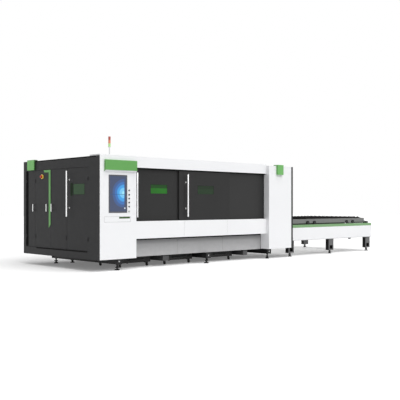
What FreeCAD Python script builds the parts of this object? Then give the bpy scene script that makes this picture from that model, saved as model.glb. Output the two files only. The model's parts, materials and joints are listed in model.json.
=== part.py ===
import FreeCAD, Part
import math
import os

# Fiber laser cutting machine with a closed cabin and a two-level exchange table, in millimetres.
# Sizes are set out in a working frame: X runs right along the front, Y runs back, Z runs up,
# with X = 0 and Y = 0 at the front left corner of the control cabinet and Z = 0 on the floor.
# The finished part is moved so that its origin is the middle of its footprint on the floor.

# Cabin
cabin_length = 5400.0
cabin_depth = 2667.0
cabin_top = 2105.0
cabin_bottom = 220.0
sheet = 4.0
end_frame_thickness = 40.0
run_gap = 0.3
door_gap = 3.0
over = 1.0  # how far a cutting solid passes the face that it cuts

# Front, from the left: control cabinet, door zone, right column
cabinet_width = 829.0
cabinet_depth = 320.0
front_rise = 30.0
column_width = 801.0
column_bottom = 226.0
frame_plane = 85.0
skirt_plane = 253.0
skirt_top = 573.0
door_zone_bottom = 907.0
header_height = 211.0
header_return = 26.0
header_cap = 40.0
lower_panel_seams = [2115.0, 3350.0]
skirt_seams = [2074.0, 3370.0]
panel_seam = 3.0

# Sliding doors and the fixed panel, each in its own slot of the tracks
leaf_thickness = 27.0
track_first_slot = 118.0
track_fin = 4.4
track_base = 3.0
track_fin_height = 8.0
track_header_fin = 25.0
track_hangers = 5
leaf_head_lap = 31.0
leaf_skin = 3.0
leaf_stile = 40.0
left_leaf_gap = 7.0
left_leaf_end = 2050.0
right_leaf_start = 2000.0
right_leaf_end = 3457.0
fixed_panel_start = 3400.0
window_sill = 1434.0
window_head = 1620.0
left_window = [1293.0, 1718.0]
right_window = [2507.0, 2976.0]
window_thickness = 6.0
window_lap = 15.0
handle_radius = 16.0
handle_bottom = 978.0
handle_top_margin = 124.0
handle_stand_off = 62.0
handle_post_radius = 9.0
handle_post_insets = [167.0, 157.0]
left_handle_inset = 86.0
right_handle_x = 2189.0

# Control cabinet front
front_wall = 16.0
recess_depth = 8.0
recess_margins = [95.0, 49.0]
recess_above_drawer = 35.0
recess_below_lip = 5.0
fascia_margins = [99.0, 12.0]
fascia_reach = 43.0
fascia_lip_reach = 14.0
fascia_drop = 96.0
fascia_height = 189.0
fascia_lip = 25.0
fascia_wall = 3.0
monitor_sides = [200.0, 617.0]
monitor_margins = [36.0, 52.0]
monitor_lip = 6.0
monitor_lap = 15.0
monitor_bezel = 26.0
monitor_body_depth = 50.0
screen_thickness = 3.0
screen_recess = 4.0
button_x = 663.0
button_heights = [1486.0, 1406.0, 1334.0, 1260.0, 1185.0, 1096.0]
button_radius = 12.0
button_reach = 13.0
button_travel = 3.0
button_stem_radius = 6.0
button_collar = 4.0
button_collar_height = 5.0
drawer_opening = [99.0, 694.0, 905.0, 1000.0]
drawer_front_thickness = 14.0
drawer_length = 262.0
drawer_wall = 3.0
drawer_side_height = 34.0
finger_slot = [429.0, 682.0, 36.0]
keyboard_size = [430.0, 150.0, 12.0]
keyboard_setback = 34.0
key_rows = 5
key_row_height = 6.0
key_row_gap = 9.0
screen_clearance = 0.5

# Left end doors, from the front: service door, two cabinet doors, narrow door
end_opening_front = 317.0
end_opening_rear_margin = 132.0
end_opening_bottom = 368.0
end_opening_top_margin = 188.0
end_leaf_face = 10.0
end_leaf_thickness = 25.0
end_leaf_stile = 30.0
stop_lip = 20.0
mullion_width = 30.0
mullion_depth = 60.0
narrow_door_width = 320.0
left_door_width = 600.0
right_door_width = 569.0
hinge_radius = 5.0
hinge_length = 24.0
hinge_strap = 18.0
hinge_strap_thickness = 2.0
hinge_inset = 220.0
side_window_margins = [120.0, 221.0]
side_window_levels = [1406.0, 1614.0]
service_handle_inset = 96.0
service_handle_bottom = 996.0
service_handle_top_margin = 57.0
service_post_insets = [166.0, 168.0]
small_handle = [1087.0, 1236.0]
small_handle_posts = [1105.0, 1218.0]
small_handle_radius = 9.0
small_handle_reach = 38.0
service_post_radius = 9.0
small_post_radius = 5.0
pair_handle_insets = [70.0, 114.0]
narrow_handle_inset = 29.0
strip_thickness = 6.0
strip_seam_gap = 5.0
strip_width = 67.0
strip_bottom = 770.0
strip_top_margin = 12.0
strip_arm_length = 263.0
strip_arm_slant = 39.0
strip_arm_height = 45.0
strip_taper = 70.0
stop_button_inset = 275.0
stop_button_drop = 137.0
stop_collar_radius = 45.0
stop_collar_height = 14.0
stop_head_radius = 28.0
stop_head_height = 26.0
stop_head_round = 8.0
stop_stem_radius = 12.0
stop_travel = 5.0

# Corner blocks, hung over the roof edge at the front right and the rear left
right_block_inset = 251.0
right_block_width = 201.0
right_block_levels = [-197.0, 26.0]
right_block_reach = 49.0
right_block_cap = 85.0
left_block_inset = 192.0
left_block_width = 276.0
left_block_levels = [-184.0, 24.0]
left_block_reach = 32.0
left_block_cap = 52.0
block_round = 10.0

# Signal light
light_x = 391.0
light_y = 250.0
light_radius = 23.0
light_pole_radius = 11.0
light_pole_height = 142.0
light_flange_radius = 32.0
light_flange_height = 8.0
light_base_height = 10.0
lens_height = 65.0
lens_round = 8.0

# Bed: two side walls with pallet rails, joined by cross tubes and standing on base tubes
bed_web = 10.0
bed_top = 880.0
bed_box_front = 130.0
bed_box_bottom = 580.0
bed_wall = 8.0
rail_reach = 38.0
rail_plate = 16.0
upper_level = 740.0
level_drop = 260.0
bed_flange = 64.0
cross_tube_width = 80.0
cross_tube_top = 440.0
cross_tube_bottom = 240.0
cross_tube_places = [1732.0, 2772.0, 4046.0]
cross_tube_end_inset = 720.0
base_tube_bottom = 110.0
base_tube_width = 84.0
base_tube_overhang = 116.0
base_tube_places = [475.0, 2778.0]
base_tube_end_inset = 704.0
lug_width = 130.0
lug_height = 106.0
lug_thickness = 12.0
lug_hole_radius = 20.0
block_beam_places = [[1694.0, 1850.0], [4020.0, 4152.0]]
block_beam_bottom = 105.0
block_beam_top = 197.0
side_beam_width = 60.0
side_beam_top = 300.0
foot_pad_radius = 48.0
foot_pad_height = 16.0
foot_cone_height = 14.0
foot_stem_radius = 16.0
foot_nut_radius = 24.0
foot_nut_height = 14.0
table_foot_height = 85.0

# Guide rails and portal
guide_y = 205.0
guide_width = 30.0
guide_height = 25.0
guide_end_gap = 39.0
portal_inset = 67.0
portal_shoe_length = 500.0
portal_beam_width = 260.0
portal_beam_bottom = 990.0
portal_beam_height = 200.0
portal_beam_wall = 12.0
cross_rail_depth = 18.0
cross_rail_height = 24.0
carriage_width = 300.0
carriage_plate = 24.0
carriage_height = 250.0
carriage_start = 520.0
carriage_motor_size = [150.0, 71.0, 120.0]
carriage_motor_rise = 40.0
head_slide_width = 120.0
head_slide_depth = 20.0
head_slide_height = 260.0
head_body_radius = 34.0
head_offset = 186.0
head_cone_radius = 27.0
nozzle_foot_radius = 12.0
nozzle_radius = 3.0
nozzle_height = 42.0
head_tip = 1036.0

# Electrical bay behind the left doors
backplate_sides = [1110.0, 2150.0]
backplate_bottom = 780.0
backplate_top_margin = 245.0
backplate_stand_off = 36.0
stand_off_radius = 8.0
bay_part_rows = 3
bay_part_columns = 5
bay_part_depths = [70.0, 95.0, 120.0]
bay_part_gap = 42.0
bay_row_gap = 130.0
source_size = [560.0, 900.0, 380.0]
source_place = [120.0, 1180.0]
source_fan_radius = 95.0

# Exchange table
table_length = 3501.0
table_plane = 150.0
table_back = 2348.0
panel_bottom = 370.0
rail_bottom = 676.0
table_beam_width = 60.0
table_beam_bottom = 440.0
table_rail_wall = 6.0
table_cross_height = 56.0
table_cross_width = 60.0
leg_insets = [145.0, 1718.0]
last_leg_inset = 148.0
leg_width = 205.0
leg_depth = 95.0
leg_setback = 15.0
leg_pocket = [120.0, 90.0, 60.0]
leg_pocket_sill = 30.0
panel_return = 9.0
doorway_height = 260.0

# End stops for the upper pallet, on the rails' ends
end_stop_length = 86.0
end_stop_width = 60.0
end_stop_height = 50.0
end_stop_arm_length = 40.0
end_stop_arm_reach = 41.0
end_stop_arm_rise = 32.0
end_stop_arm_height = 28.0

# Pallets
pallet_length = 3200.0
pallet_end_inset = 101.0
pallet_side_gap = 43.0
pallet_frame_drop = 29.0
pallet_frame_height = 106.0
pallet_frame_width = 60.0
pallet_inner_inset = 457.0
pallet_ledge = 20.0
wheel_radius = 45.0
wheel_width = 28.0
wheel_boss_radius = 14.0
wheel_side_gap = 7.0
wheel_offsets = [735.0, 1005.0, 2370.0, 2640.0]
slat_end_gap = 25.0
slat_floor_height = 8.0
slat_count = 22
slat_teeth = 12
slat_thickness = 4.0
slat_tooth_height = 33.0
slat_land = 18.0
slat_tip = 150.0
comb_thickness = 8.0
comb_height = 75.0
comb_offset = 300.0

# Chain drive
shaft_inset = 83.0
shaft_radius = 20.0
sprocket_radius = 54.0
sprocket_width = 12.0
chain_inset = 16.0
chain_height = 14.0
chain_drop = 6.0
idler_inset = 297.0
bearing_length = 16.0
bearing_size = 70.0
bearing_play = 0.05
sprocket_hole_radius = 8.0
sprocket_hole_circle = 35.0
gearbox_y = 810.0
gearbox_width = 150.0
gearbox_front = 33.0
gearbox_below = 30.0
gearbox_above = 50.0
gear_motor_radius = 38.0
gear_motor_setback = 43.0
gear_motor_length = 375.0

# Scrap trays
tray_places = [1188.0, 2320.0, 3524.0]
tray_width = 740.0
tray_front = 480.0
tray_back = 1272.0
tray_bottom = 84.0
tray_top = 196.0
tray_wall = 4.0
tray_grip_radius = 8.0
caster_radius = 28.0
caster_width = 24.0
caster_inset = 36.0
tray_stop_bottom = 130.0

# Rear
exhaust_x = 2025.0
exhaust_z = 1100.0
exhaust_radius = 150.0
exhaust_length = 110.0
exhaust_wall = 4.0
rear_panel_count = 4
vent_slots = 8
vent_slot_length = 400.0
vent_slot_height = 10.0
vent_slot_pitch = 30.0
vent_slot_rise = 120.0

# Values that follow from the ones above
mid_y = (table_plane + table_back) / 2
front_top = cabin_top + front_rise
column_left = cabin_length - column_width
door_zone_top = front_top - header_height
leaf_top = door_zone_top + leaf_head_lap
left_leaf_start = cabinet_width + left_leaf_gap
left_handle_x = left_leaf_start + left_handle_inset
handle_top = leaf_top - handle_top_margin
handle_posts = [handle_bottom + handle_post_insets[0], handle_top - handle_post_insets[1]]
fascia = [fascia_margins[0], cabinet_width - fascia_margins[1]]
fascia_top = front_top - fascia_drop
fascia_nose_bottom = fascia_top - fascia_height
fascia_lip_bottom = fascia_nose_bottom - fascia_lip
recess = [recess_margins[0], cabinet_width - recess_margins[1],
          drawer_opening[3] + recess_above_drawer, fascia_lip_bottom - recess_below_lip]
monitor = [monitor_sides[0], monitor_sides[1],
           recess[2] + monitor_margins[0], recess[3] - monitor_margins[1]]
end_opening = [end_opening_front, cabin_depth - end_opening_rear_margin,
               end_opening_bottom, cabin_top - end_opening_top_margin]
narrow_post_y = end_opening[1] - narrow_door_width
pair_seam_y = narrow_post_y - left_door_width
service_post_y = pair_seam_y - right_door_width
side_window = [end_opening_front + side_window_margins[0], service_post_y - side_window_margins[1],
               side_window_levels[0], side_window_levels[1]]
service_handle_y = service_post_y - service_handle_inset
service_handle_top = end_opening[3] - service_handle_top_margin
service_handle = [service_handle_bottom, service_handle_top,
                  service_handle_bottom + service_post_insets[0],
                  service_handle_top - service_post_insets[1]]
right_door_handle_y = pair_seam_y - pair_handle_insets[0]
left_door_handle_y = pair_seam_y + pair_handle_insets[1]
narrow_door_handle_y = narrow_post_y + narrow_handle_inset
strip_left = pair_seam_y + strip_seam_gap
strip_upright = [strip_left, strip_left + strip_width, strip_bottom, end_opening[3] - strip_top_margin]
strip_arm_end = strip_left + strip_arm_length
stop_button_y = narrow_post_y - stop_button_inset
stop_button_z = end_opening[3] - stop_button_drop
right_block_left = column_left + right_block_inset
right_block = [right_block_left, right_block_left + right_block_width,
               cabin_top + right_block_levels[0], cabin_top + right_block_levels[1]]
left_block_rear = cabin_depth - left_block_inset
left_block = [left_block_rear - left_block_width, left_block_rear,
              cabin_top + left_block_levels[0], cabin_top + left_block_levels[1]]
bed_left = cabinet_width + sheet
cross_tubes = [bed_left] + cross_tube_places + [cabin_length - cross_tube_end_inset]
base_tubes = base_tube_places + [cabin_length - base_tube_end_inset]
guide_end = column_left - guide_end_gap
portal_left = bed_left + portal_inset
backplate = [backplate_sides[0], backplate_sides[1], backplate_bottom, cabin_top - backplate_top_margin]
table_start = cabin_length + end_frame_thickness
table_end = table_start + table_length
leg_places = [table_start + leg_insets[0], table_start + leg_insets[1], table_end - last_leg_inset]
pallet_start = table_end - pallet_end_inset - pallet_length
lower_pallet_start = bed_left + pallet_inner_inset
idler_x = bed_left + idler_inset
shaft_x = table_end - shaft_inset
lower_level = upper_level - level_drop
web_front = skirt_plane + leaf_skin
web_back = web_front + bed_web
pallet_side = web_back + pallet_side_gap
chain_y = pallet_side + chain_inset
leaf_bottom = door_zone_bottom + track_base + run_gap
second_slot = track_first_slot + leaf_thickness + run_gap + track_fin + run_gap
track_front = track_first_slot - run_gap - track_fin
track_back = second_slot + leaf_thickness + run_gap + track_fin
end_leaf_outer = -end_frame_thickness + end_leaf_face
end_leaf_inner = end_leaf_outer + end_leaf_thickness


def box(x0, x1, y0, y1, z0, z1):
    """Solid box between two corners."""
    return Part.makeBox(x1 - x0, y1 - y0, z1 - z0, FreeCAD.Vector(x0, y0, z0))


def rod(radius, start, end):
    """Solid cylinder from one centre to the other."""
    a = FreeCAD.Vector(*start)
    b = FreeCAD.Vector(*end)
    return Part.makeCylinder(radius, (b - a).Length, a, b - a)


def extrude(points, direction):
    """Solid of a closed outline of corner points, pushed along a direction."""
    wire = Part.makePolygon([FreeCAD.Vector(*p) for p in points + points[:1]])
    return Part.Face(wire).extrude(FreeCAD.Vector(*direction))


def join(solids):
    """One solid from touching or overlapping ones."""
    return solids[0].multiFuse(solids[1:]).removeSplitter()


def group(solids):
    """Several separate solids kept together in one piece."""
    return Part.makeCompound(solids)


def mirrored(shape):
    """The same shape on the other side of the bed's middle plane."""
    return shape.mirror(FreeCAD.Vector(0, mid_y, 0), FreeCAD.Vector(0, 1, 0))


def split_run(start, end, seams, gap):
    """Start and end of each stretch between seams of the given width."""
    edges = [start] + [s + side * gap / 2 for s in seams for side in (-1, 1)] + [end]
    return list(zip(edges[0::2], edges[1::2]))


def tube_x(x0, x1, y0, y1, z0, z1, wall):
    """Rectangular tube along X."""
    inner = box(x0 - over, x1 + over, y0 + wall, y1 - wall, z0 + wall, z1 - wall)
    return box(x0, x1, y0, y1, z0, z1).cut(inner)


def tube_y(x0, x1, y0, y1, z0, z1, wall):
    """Rectangular tube along Y."""
    inner = box(x0 + wall, x1 - wall, y0 - over, y1 + over, z0 + wall, z1 - wall)
    return box(x0, x1, y0, y1, z0, z1).cut(inner)


# ---------------------------------------------------------------- bed

def bed_wall_profile(x0, x1):
    """Side wall with the two pallet rails and the bottom flange folded inward."""
    reach = web_back + rail_reach
    upper = upper_level
    lower = lower_level
    foot = web_front + bed_flange
    outline = [
        (web_front, cabin_bottom), (foot, cabin_bottom), (foot, cabin_bottom + rail_plate),
        (web_back, cabin_bottom + rail_plate), (web_back, lower - rail_plate), (reach, lower - rail_plate),
        (reach, lower), (web_back, lower), (web_back, upper - rail_plate), (reach, upper - rail_plate),
        (reach, upper), (web_back, upper), (web_back, bed_top), (web_front, bed_top),
    ]
    return extrude([(x0, y, z) for y, z in outline], (x1 - x0, 0, 0))


def base_tube(x):
    """Base tube across the machine, closed by a drilled lifting plate at each end."""
    plate_back = base_tube_overhang + lug_thickness
    tube = tube_y(x, x + base_tube_width, plate_back, 2 * mid_y - plate_back,
                  base_tube_bottom, cabin_bottom, bed_wall)
    hole_x = x + base_tube_width / 2
    lug_top = cabin_bottom - sheet
    hole_z = lug_top - lug_height / 2
    plate = box(hole_x - lug_width / 2, hole_x + lug_width / 2, base_tube_overhang, plate_back,
                lug_top - lug_height, lug_top)
    plate = plate.cut(rod(lug_hole_radius, (hole_x, 0, hole_z), (hole_x, plate_back + over, hole_z)))
    return join([tube, plate, mirrored(plate)])


def bed_frame():
    """Welded bed: walls, guide boxes, cross tubes, base tubes and the beams under the left bay."""
    wall = bed_wall_profile(bed_left, cabin_length)
    guide_box = tube_x(bed_left, column_left, bed_box_front, web_front, bed_box_bottom, bed_top, bed_wall)
    solids = [wall, mirrored(wall), guide_box, mirrored(guide_box)]
    for x in cross_tubes:
        solids.append(tube_y(x, x + cross_tube_width, web_back, 2 * mid_y - web_back,
                             cross_tube_bottom, cross_tube_top, bed_wall))
    for x in base_tubes:
        solids.append(base_tube(x))
    for x0, x1 in block_beam_places:
        solids.append(box(x0, x1, web_front, 2 * mid_y - web_front, block_beam_bottom, block_beam_top))
        for y in (web_front, 2 * mid_y - web_front - bed_flange):
            solids.append(box(x0, x1, y, y + bed_flange, block_beam_top, cabin_bottom))
    supports = sorted(block_beam_places + [[x, x + base_tube_width] for x in base_tubes])
    bays = [[a[1], b[0]] for a, b in zip(supports, supports[1:])]
    for x0, x1 in bays[:-1]:
        solids.append(box(x0, x1, tray_back + run_gap, tray_back + run_gap + bed_wall,
                          tray_stop_bottom, tray_stop_bottom + bed_flange))
    bay_beam = tube_x(0, bed_left, cabinet_depth + sheet, cabinet_depth + sheet + side_beam_width,
                      cabin_bottom, side_beam_top, bed_wall)
    solids += [bay_beam, mirrored(bay_beam)]
    tie_y = cabinet_depth + sheet + side_beam_width
    solids.append(tube_y(bed_left - cross_tube_width, bed_left, tie_y, 2 * mid_y - tie_y,
                         cabin_bottom, side_beam_top, bed_wall))
    return group(solids)


def levelling_foot(x, y, top):
    """Round pad with a cone, a threaded stem and its lock nut."""
    pad = rod(foot_pad_radius, (x, y, 0), (x, y, foot_pad_height))
    pad_top = FreeCAD.Vector(x, y, foot_pad_height)
    cone = Part.makeCone(foot_pad_radius, foot_stem_radius, foot_cone_height, pad_top)
    stem = rod(foot_stem_radius, (x, y, foot_pad_height), (x, y, top))
    corners = []
    for k in range(6):
        turn = math.radians(60 * k)
        corners.append((x + foot_nut_radius * math.cos(turn), y + foot_nut_radius * math.sin(turn),
                        top - foot_nut_height))
    nut = extrude(corners, (0, 0, foot_nut_height))
    return join([pad, cone, stem, nut])


def levelling_feet():
    """All the levelling feet of the machine and of the exchange table."""
    solids = []
    foot_y = base_tube_overhang + bed_flange
    for x in base_tubes:
        for y in (foot_y, 2 * mid_y - foot_y):
            solids.append(levelling_foot(x + base_tube_width / 2, y, base_tube_bottom))
    table_foot_y = table_plane + leg_setback + leg_depth / 2
    for x in leg_places:
        for y in (table_foot_y, 2 * mid_y - table_foot_y):
            solids.append(levelling_foot(x, y, table_foot_height))
    return group(solids)


def guide_rails():
    """Hardened guide rail on each guide box, with the rack beside it."""
    rail = box(bed_left, guide_end, guide_y, guide_y + guide_width, bed_top, bed_top + guide_height)
    rack_y = guide_y + guide_width
    rack = box(bed_left, guide_end, rack_y, web_front, bed_top, bed_top + guide_height - 2 * sheet)
    one = join([rail, rack])
    return group([one, mirrored(one)])


# ---------------------------------------------------------------- cabin

def hinge_levels():
    """Heights of the middles of the two hinges of an end door."""
    return [end_opening[2] + hinge_inset, end_opening[3] - hinge_inset]


def hinge_line(y, mount_face):
    """X and Y of a door's hinge line, proud of the face that carries it."""
    return mount_face - hinge_radius - run_gap, y


def fixed_knuckles(y, side, mount_face):
    """The frame's two outer knuckles of each hinge, each on its strap on the carrying face."""
    axis_x, axis_y = hinge_line(y, mount_face)
    solids = []
    for z in hinge_levels():
        for end in (-1, 1):
            z0 = z + end * (hinge_length / 2 + run_gap)
            z1 = z + end * 1.5 * hinge_length
            z0, z1 = min(z0, z1), max(z0, z1)
            knuckle = rod(hinge_radius, (axis_x, axis_y, z0), (axis_x, axis_y, z1))
            y0, y1 = sorted((axis_y, axis_y - side * hinge_strap))
            strap = box(mount_face - hinge_strap_thickness, mount_face, y0, y1, z0, z1)
            solids.append(join([knuckle, strap]))
    return solids


def moving_knuckles(y, side, mount_face):
    """The door's middle knuckle of each hinge, each with its strap on the leaf."""
    axis_x, axis_y = hinge_line(y, mount_face)
    solids = []
    for z in hinge_levels():
        z0 = z - hinge_length / 2 + run_gap
        z1 = z + hinge_length / 2 - run_gap
        knuckle = rod(hinge_radius, (axis_x, axis_y, z0), (axis_x, axis_y, z1))
        y0, y1 = sorted((axis_y + side * hinge_strap_thickness, axis_y + side * hinge_strap))
        strap = box(axis_x, end_leaf_outer, y0, y1, z0, z1)
        bridge_y = sorted((axis_y, axis_y + side * hinge_strap_thickness))
        bridge = box(axis_x - hinge_radius / 2, axis_x + hinge_radius / 2, bridge_y[0], bridge_y[1], z0, z1)
        solids.append(join([knuckle, strap, bridge]))
    return solids


def left_end_frame():
    """Dark end frame with the door opening, its stop lip, two posts and the fixed hinge halves."""
    y0, y1, z0, z1 = end_opening
    frame = box(-end_frame_thickness, 0, 0, cabin_depth, cabin_bottom, cabin_top)
    frame = frame.cut(box(-end_frame_thickness - over, end_leaf_inner, y0, y1, z0, z1))
    lip = stop_lip
    frame = frame.cut(box(end_leaf_inner - over, over, y0 + lip, y1 - lip, z0 + lip, z1 - lip))
    posts = []
    for y in (service_post_y, narrow_post_y):
        half = mullion_width / 2
        posts.append(box(end_leaf_outer, 0, y - half, y + half, z0, z1))
        posts.append(box(end_leaf_inner + run_gap, mullion_depth, y - 2 * half, y + 2 * half, z0, z1))
    knuckles = fixed_knuckles(y0, 1, -end_frame_thickness)
    knuckles += fixed_knuckles(y1, -1, -end_frame_thickness)
    knuckles += fixed_knuckles(service_post_y + mullion_width / 2, 1, end_leaf_outer)
    knuckles += fixed_knuckles(narrow_post_y - mullion_width / 2, -1, end_leaf_outer)
    return group([join([frame] + posts)] + knuckles)


def right_end_frame():
    """Dark end frame with the opening that the pallets pass through."""
    x0 = cabin_length
    frame = box(x0, x0 + end_frame_thickness, 0, cabin_depth, cabin_bottom, cabin_top)
    edge = table_plane + table_beam_width
    lintel = upper_level + doorway_height
    opening = box(x0 - over, table_start + over, edge, 2 * mid_y - edge, table_beam_bottom, lintel)
    return frame.cut(opening)


def rear_panels():
    """Rear panels side by side, with louvre slots low down and the exhaust spigot on one of them."""
    width = cabin_length / rear_panel_count
    seams = [width * k for k in range(1, rear_panel_count)]
    solids = []
    for x0, x1 in split_run(0, cabin_length, seams, panel_seam):
        panel = box(x0, x1, cabin_depth - sheet, cabin_depth, column_bottom, cabin_top - sheet)
        slot_x = (x0 + x1 - vent_slot_length) / 2
        for k in range(vent_slots):
            z = column_bottom + vent_slot_rise + vent_slot_pitch * k
            panel = panel.cut(box(slot_x, slot_x + vent_slot_length, cabin_depth - sheet - over,
                                  cabin_depth + over, z, z + vent_slot_height))
        if x0 < exhaust_x - exhaust_radius and x1 > exhaust_x + exhaust_radius:
            panel = with_exhaust(panel)
        solids.append(panel)
    return group(solids)


def with_exhaust(panel):
    """Panel with the round fume spigot through it."""
    start = (exhaust_x, cabin_depth - sheet, exhaust_z)
    end = (exhaust_x, cabin_depth + exhaust_length, exhaust_z)
    pipe = rod(exhaust_radius, start, end)
    bore = rod(exhaust_radius - exhaust_wall, (exhaust_x, cabin_depth - 2 * sheet, exhaust_z),
               (exhaust_x, cabin_depth + exhaust_length + over, exhaust_z))
    return join([panel, pipe]).cut(bore)


def roof_panels():
    """Roof sheet, cut out round the control cabinet and the right column."""
    y0 = frame_plane + sheet
    y1 = cabin_depth
    top = box(0, cabin_length, y0, y1, cabin_top - sheet, cabin_top)
    low = cabin_top - sheet - over
    high = cabin_top + over
    clear = box(-over, cabinet_width, y0 - over, cabinet_depth, low, high)
    column = box(column_left, cabin_length + over, y0 - over, skirt_plane, low, high)
    return top.cut(clear).cut(column)


def front_header():
    """White folded band over the doors, with its cap turned down onto the roof."""
    y = frame_plane
    outline = [
        (y, door_zone_top), (y + header_return, door_zone_top), (y + header_return, door_zone_top + sheet),
        (y + sheet, door_zone_top + sheet), (y + sheet, front_top - sheet),
        (y + header_cap - sheet, front_top - sheet), (y + header_cap - sheet, cabin_top),
        (y + header_cap, cabin_top), (y + header_cap, front_top), (y, front_top),
    ]
    return extrude([(cabinet_width, p, z) for p, z in outline], (column_left - cabinet_width, 0, 0))


def front_panels():
    """The band over the doors, and the folded panels under them with ledge, front and lip over the skirt."""
    y = frame_plane
    outline = [
        (y, skirt_top), (skirt_plane, skirt_top),
        (skirt_plane, skirt_top + sheet), (y + sheet, skirt_top + sheet),
        (y + sheet, door_zone_bottom - sheet), (track_back, door_zone_bottom - sheet),
        (track_back, door_zone_bottom), (y, door_zone_bottom),
    ]
    solids = [front_header()]
    for x0, x1 in split_run(cabinet_width, column_left, lower_panel_seams, panel_seam):
        solids.append(extrude([(x0, p, z) for p, z in outline], (x1 - x0, 0, 0)))
    return group(solids)


def skirt_panels():
    """Grey cover panels on the front of the bed wall."""
    solids = []
    for x0, x1 in split_run(bed_left, column_left - 2 * sheet, skirt_seams, panel_seam):
        solids.append(box(x0, x1, skirt_plane, web_front, cabin_bottom, skirt_top))
    return group(solids)


def pocketed_leaf(x0, x1, y0, window):
    """Folded door leaf along X: a front skin with stiles round the back and a window hole."""
    y1 = y0 + leaf_thickness
    leaf = box(x0, x1, y0, y1, leaf_bottom, leaf_top)
    stile = leaf_stile
    leaf = leaf.cut(box(x0 + stile, x1 - stile, y0 + leaf_skin, y1 + over,
                        leaf_bottom + stile, leaf_top - stile))
    if window:
        leaf = leaf.cut(box(window[0], window[1], y0 - over, y1, window_sill, window_head))
    return leaf


def fixed_front_panel():
    """Dark fixed panel at the right of the door zone, in the rear slot of the tracks."""
    return pocketed_leaf(fixed_panel_start, column_left, second_slot, None)


def track(z_base, fin_height, up):
    """Double-slot track: a base strip with three fins."""
    z0 = z_base if up else z_base - track_base
    z1 = z0 + track_base
    solids = [box(cabinet_width, column_left, track_front, track_back, z0, z1)]
    for y in (track_front, track_first_slot + leaf_thickness + run_gap, track_back - track_fin):
        if up:
            solids.append(box(cabinet_width, column_left, y, y + track_fin, z1, z1 + fin_height))
        else:
            solids.append(box(cabinet_width, column_left, y, y + track_fin, z0 - fin_height, z0))
    return join(solids)


def door_tracks():
    """Bottom track on the ledge and top track under the roof edge, hung on brackets."""
    bottom = track(door_zone_bottom, track_fin_height, True)
    top_z = leaf_top + run_gap + track_base
    top = track(top_z, track_header_fin, False)
    hangers = []
    for k in range(track_hangers):
        x = cabinet_width + (column_left - cabinet_width - leaf_stile) * k / (track_hangers - 1)
        hangers.append(box(x, x + leaf_stile, track_back - leaf_thickness, track_back,
                           top_z, cabin_top - sheet))
    return group([bottom, join([top] + hangers)])


def chamber_partition():
    """Wall between the electrical bay and the cutting chamber."""
    return box(cabinet_width, bed_left, cabinet_depth, cabin_depth - sheet, side_beam_top, cabin_top - sheet)


def right_column():
    """White folded column at the right of the front, open to the rear."""
    outer = box(column_left, cabin_length, 0, skirt_plane, column_bottom, cabin_top)
    inner = box(column_left + sheet, cabin_length - sheet, sheet, skirt_plane + over,
                column_bottom + sheet, cabin_top - sheet)
    return outer.cut(inner)


def corner_blocks():
    """Two rounded accent blocks, each with a cap that lies on the roof edge."""
    x0, x1, z0, z1 = right_block
    front = box(x0, x1, -right_block_reach, 0, z0, z1)
    outer = [e for e in front.Edges if is_upright(e) and e.CenterOfMass.y < -run_gap]
    front = front.makeFillet(block_round, outer)
    front_cap = box(x0, x1, 0, right_block_cap, cabin_top, z1)
    y0, y1, z0, z1 = left_block
    face = -end_frame_thickness
    side = box(face - left_block_reach, face, y0, y1, z0, z1)
    outer = [e for e in side.Edges if is_upright(e) and e.CenterOfMass.x < face - run_gap]
    side = side.makeFillet(block_round, outer)
    side_cap = box(face, face + left_block_cap, y0, y1, cabin_top, z1)
    return group([join([front, front_cap]), join([side, side_cap])])


def is_upright(edge):
    """True for an edge that runs along Z."""
    return abs(edge.BoundBox.ZLength - edge.Length) < run_gap


# ---------------------------------------------------------------- control cabinet

def button_seat(z):
    """Collar round a button on the recessed wall."""
    y = recess_depth
    outer = button_radius + button_collar
    ring = rod(outer, (button_x, y - button_collar_height, z), (button_x, y, z))
    return ring.cut(rod(button_radius + screen_clearance, (button_x, y - button_collar_height - over, z),
                        (button_x, y, z)))


def control_cabinet():
    """White cabinet shell with recessed panel, monitor cut-out, button holes and drawer shelf."""
    shell = box(0, cabinet_width, 0, cabinet_depth, cabin_bottom, front_top)
    inner = box(sheet, cabinet_width - sheet, front_wall, cabinet_depth - sheet,
                cabin_bottom + sheet, front_top - sheet)
    shell = shell.cut(inner)
    shell = shell.cut(box(recess[0], recess[1], -over, recess_depth, recess[2], recess[3]))
    m0, m1, m2, m3 = monitor
    lap = monitor_lap - run_gap
    shell = shell.cut(box(m0 + lap, m1 - lap, recess_depth - over, front_wall + over,
                          m2 + lap, m3 - lap))
    d0, d1, d2, d3 = drawer_opening
    shell = shell.cut(box(d0, d1, -over, front_wall + over, d2, d3))
    collars = []
    for z in button_heights:
        stem = button_stem_radius + run_gap
        shell = shell.cut(rod(stem, (button_x, 0, z), (button_x, front_wall + over, z)))
        collars.append(button_seat(z))
    shelf = box(sheet, cabinet_width - sheet, front_wall, cabinet_depth - sheet, d2 - sheet, d2)
    return join([shell, shelf] + collars)


def cabinet_fascia():
    """Folded accent cover across the top of the cabinet, with a sloped lip below."""
    outline = [
        (0, fascia_lip_bottom), (-fascia_lip_reach, fascia_lip_bottom),
        (-fascia_reach, fascia_nose_bottom), (-fascia_reach, fascia_top - block_round),
        (-fascia_reach + block_round, fascia_top), (0, fascia_top),
    ]
    x0, x1 = fascia
    cover = extrude([(x0, y, z) for y, z in outline], (x1 - x0, 0, 0))
    wall = fascia_wall
    hollow = box(x0 + wall, x1 - wall, -fascia_reach + block_round, 1, fascia_nose_bottom, fascia_top - wall)
    return cover.cut(hollow)


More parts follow.
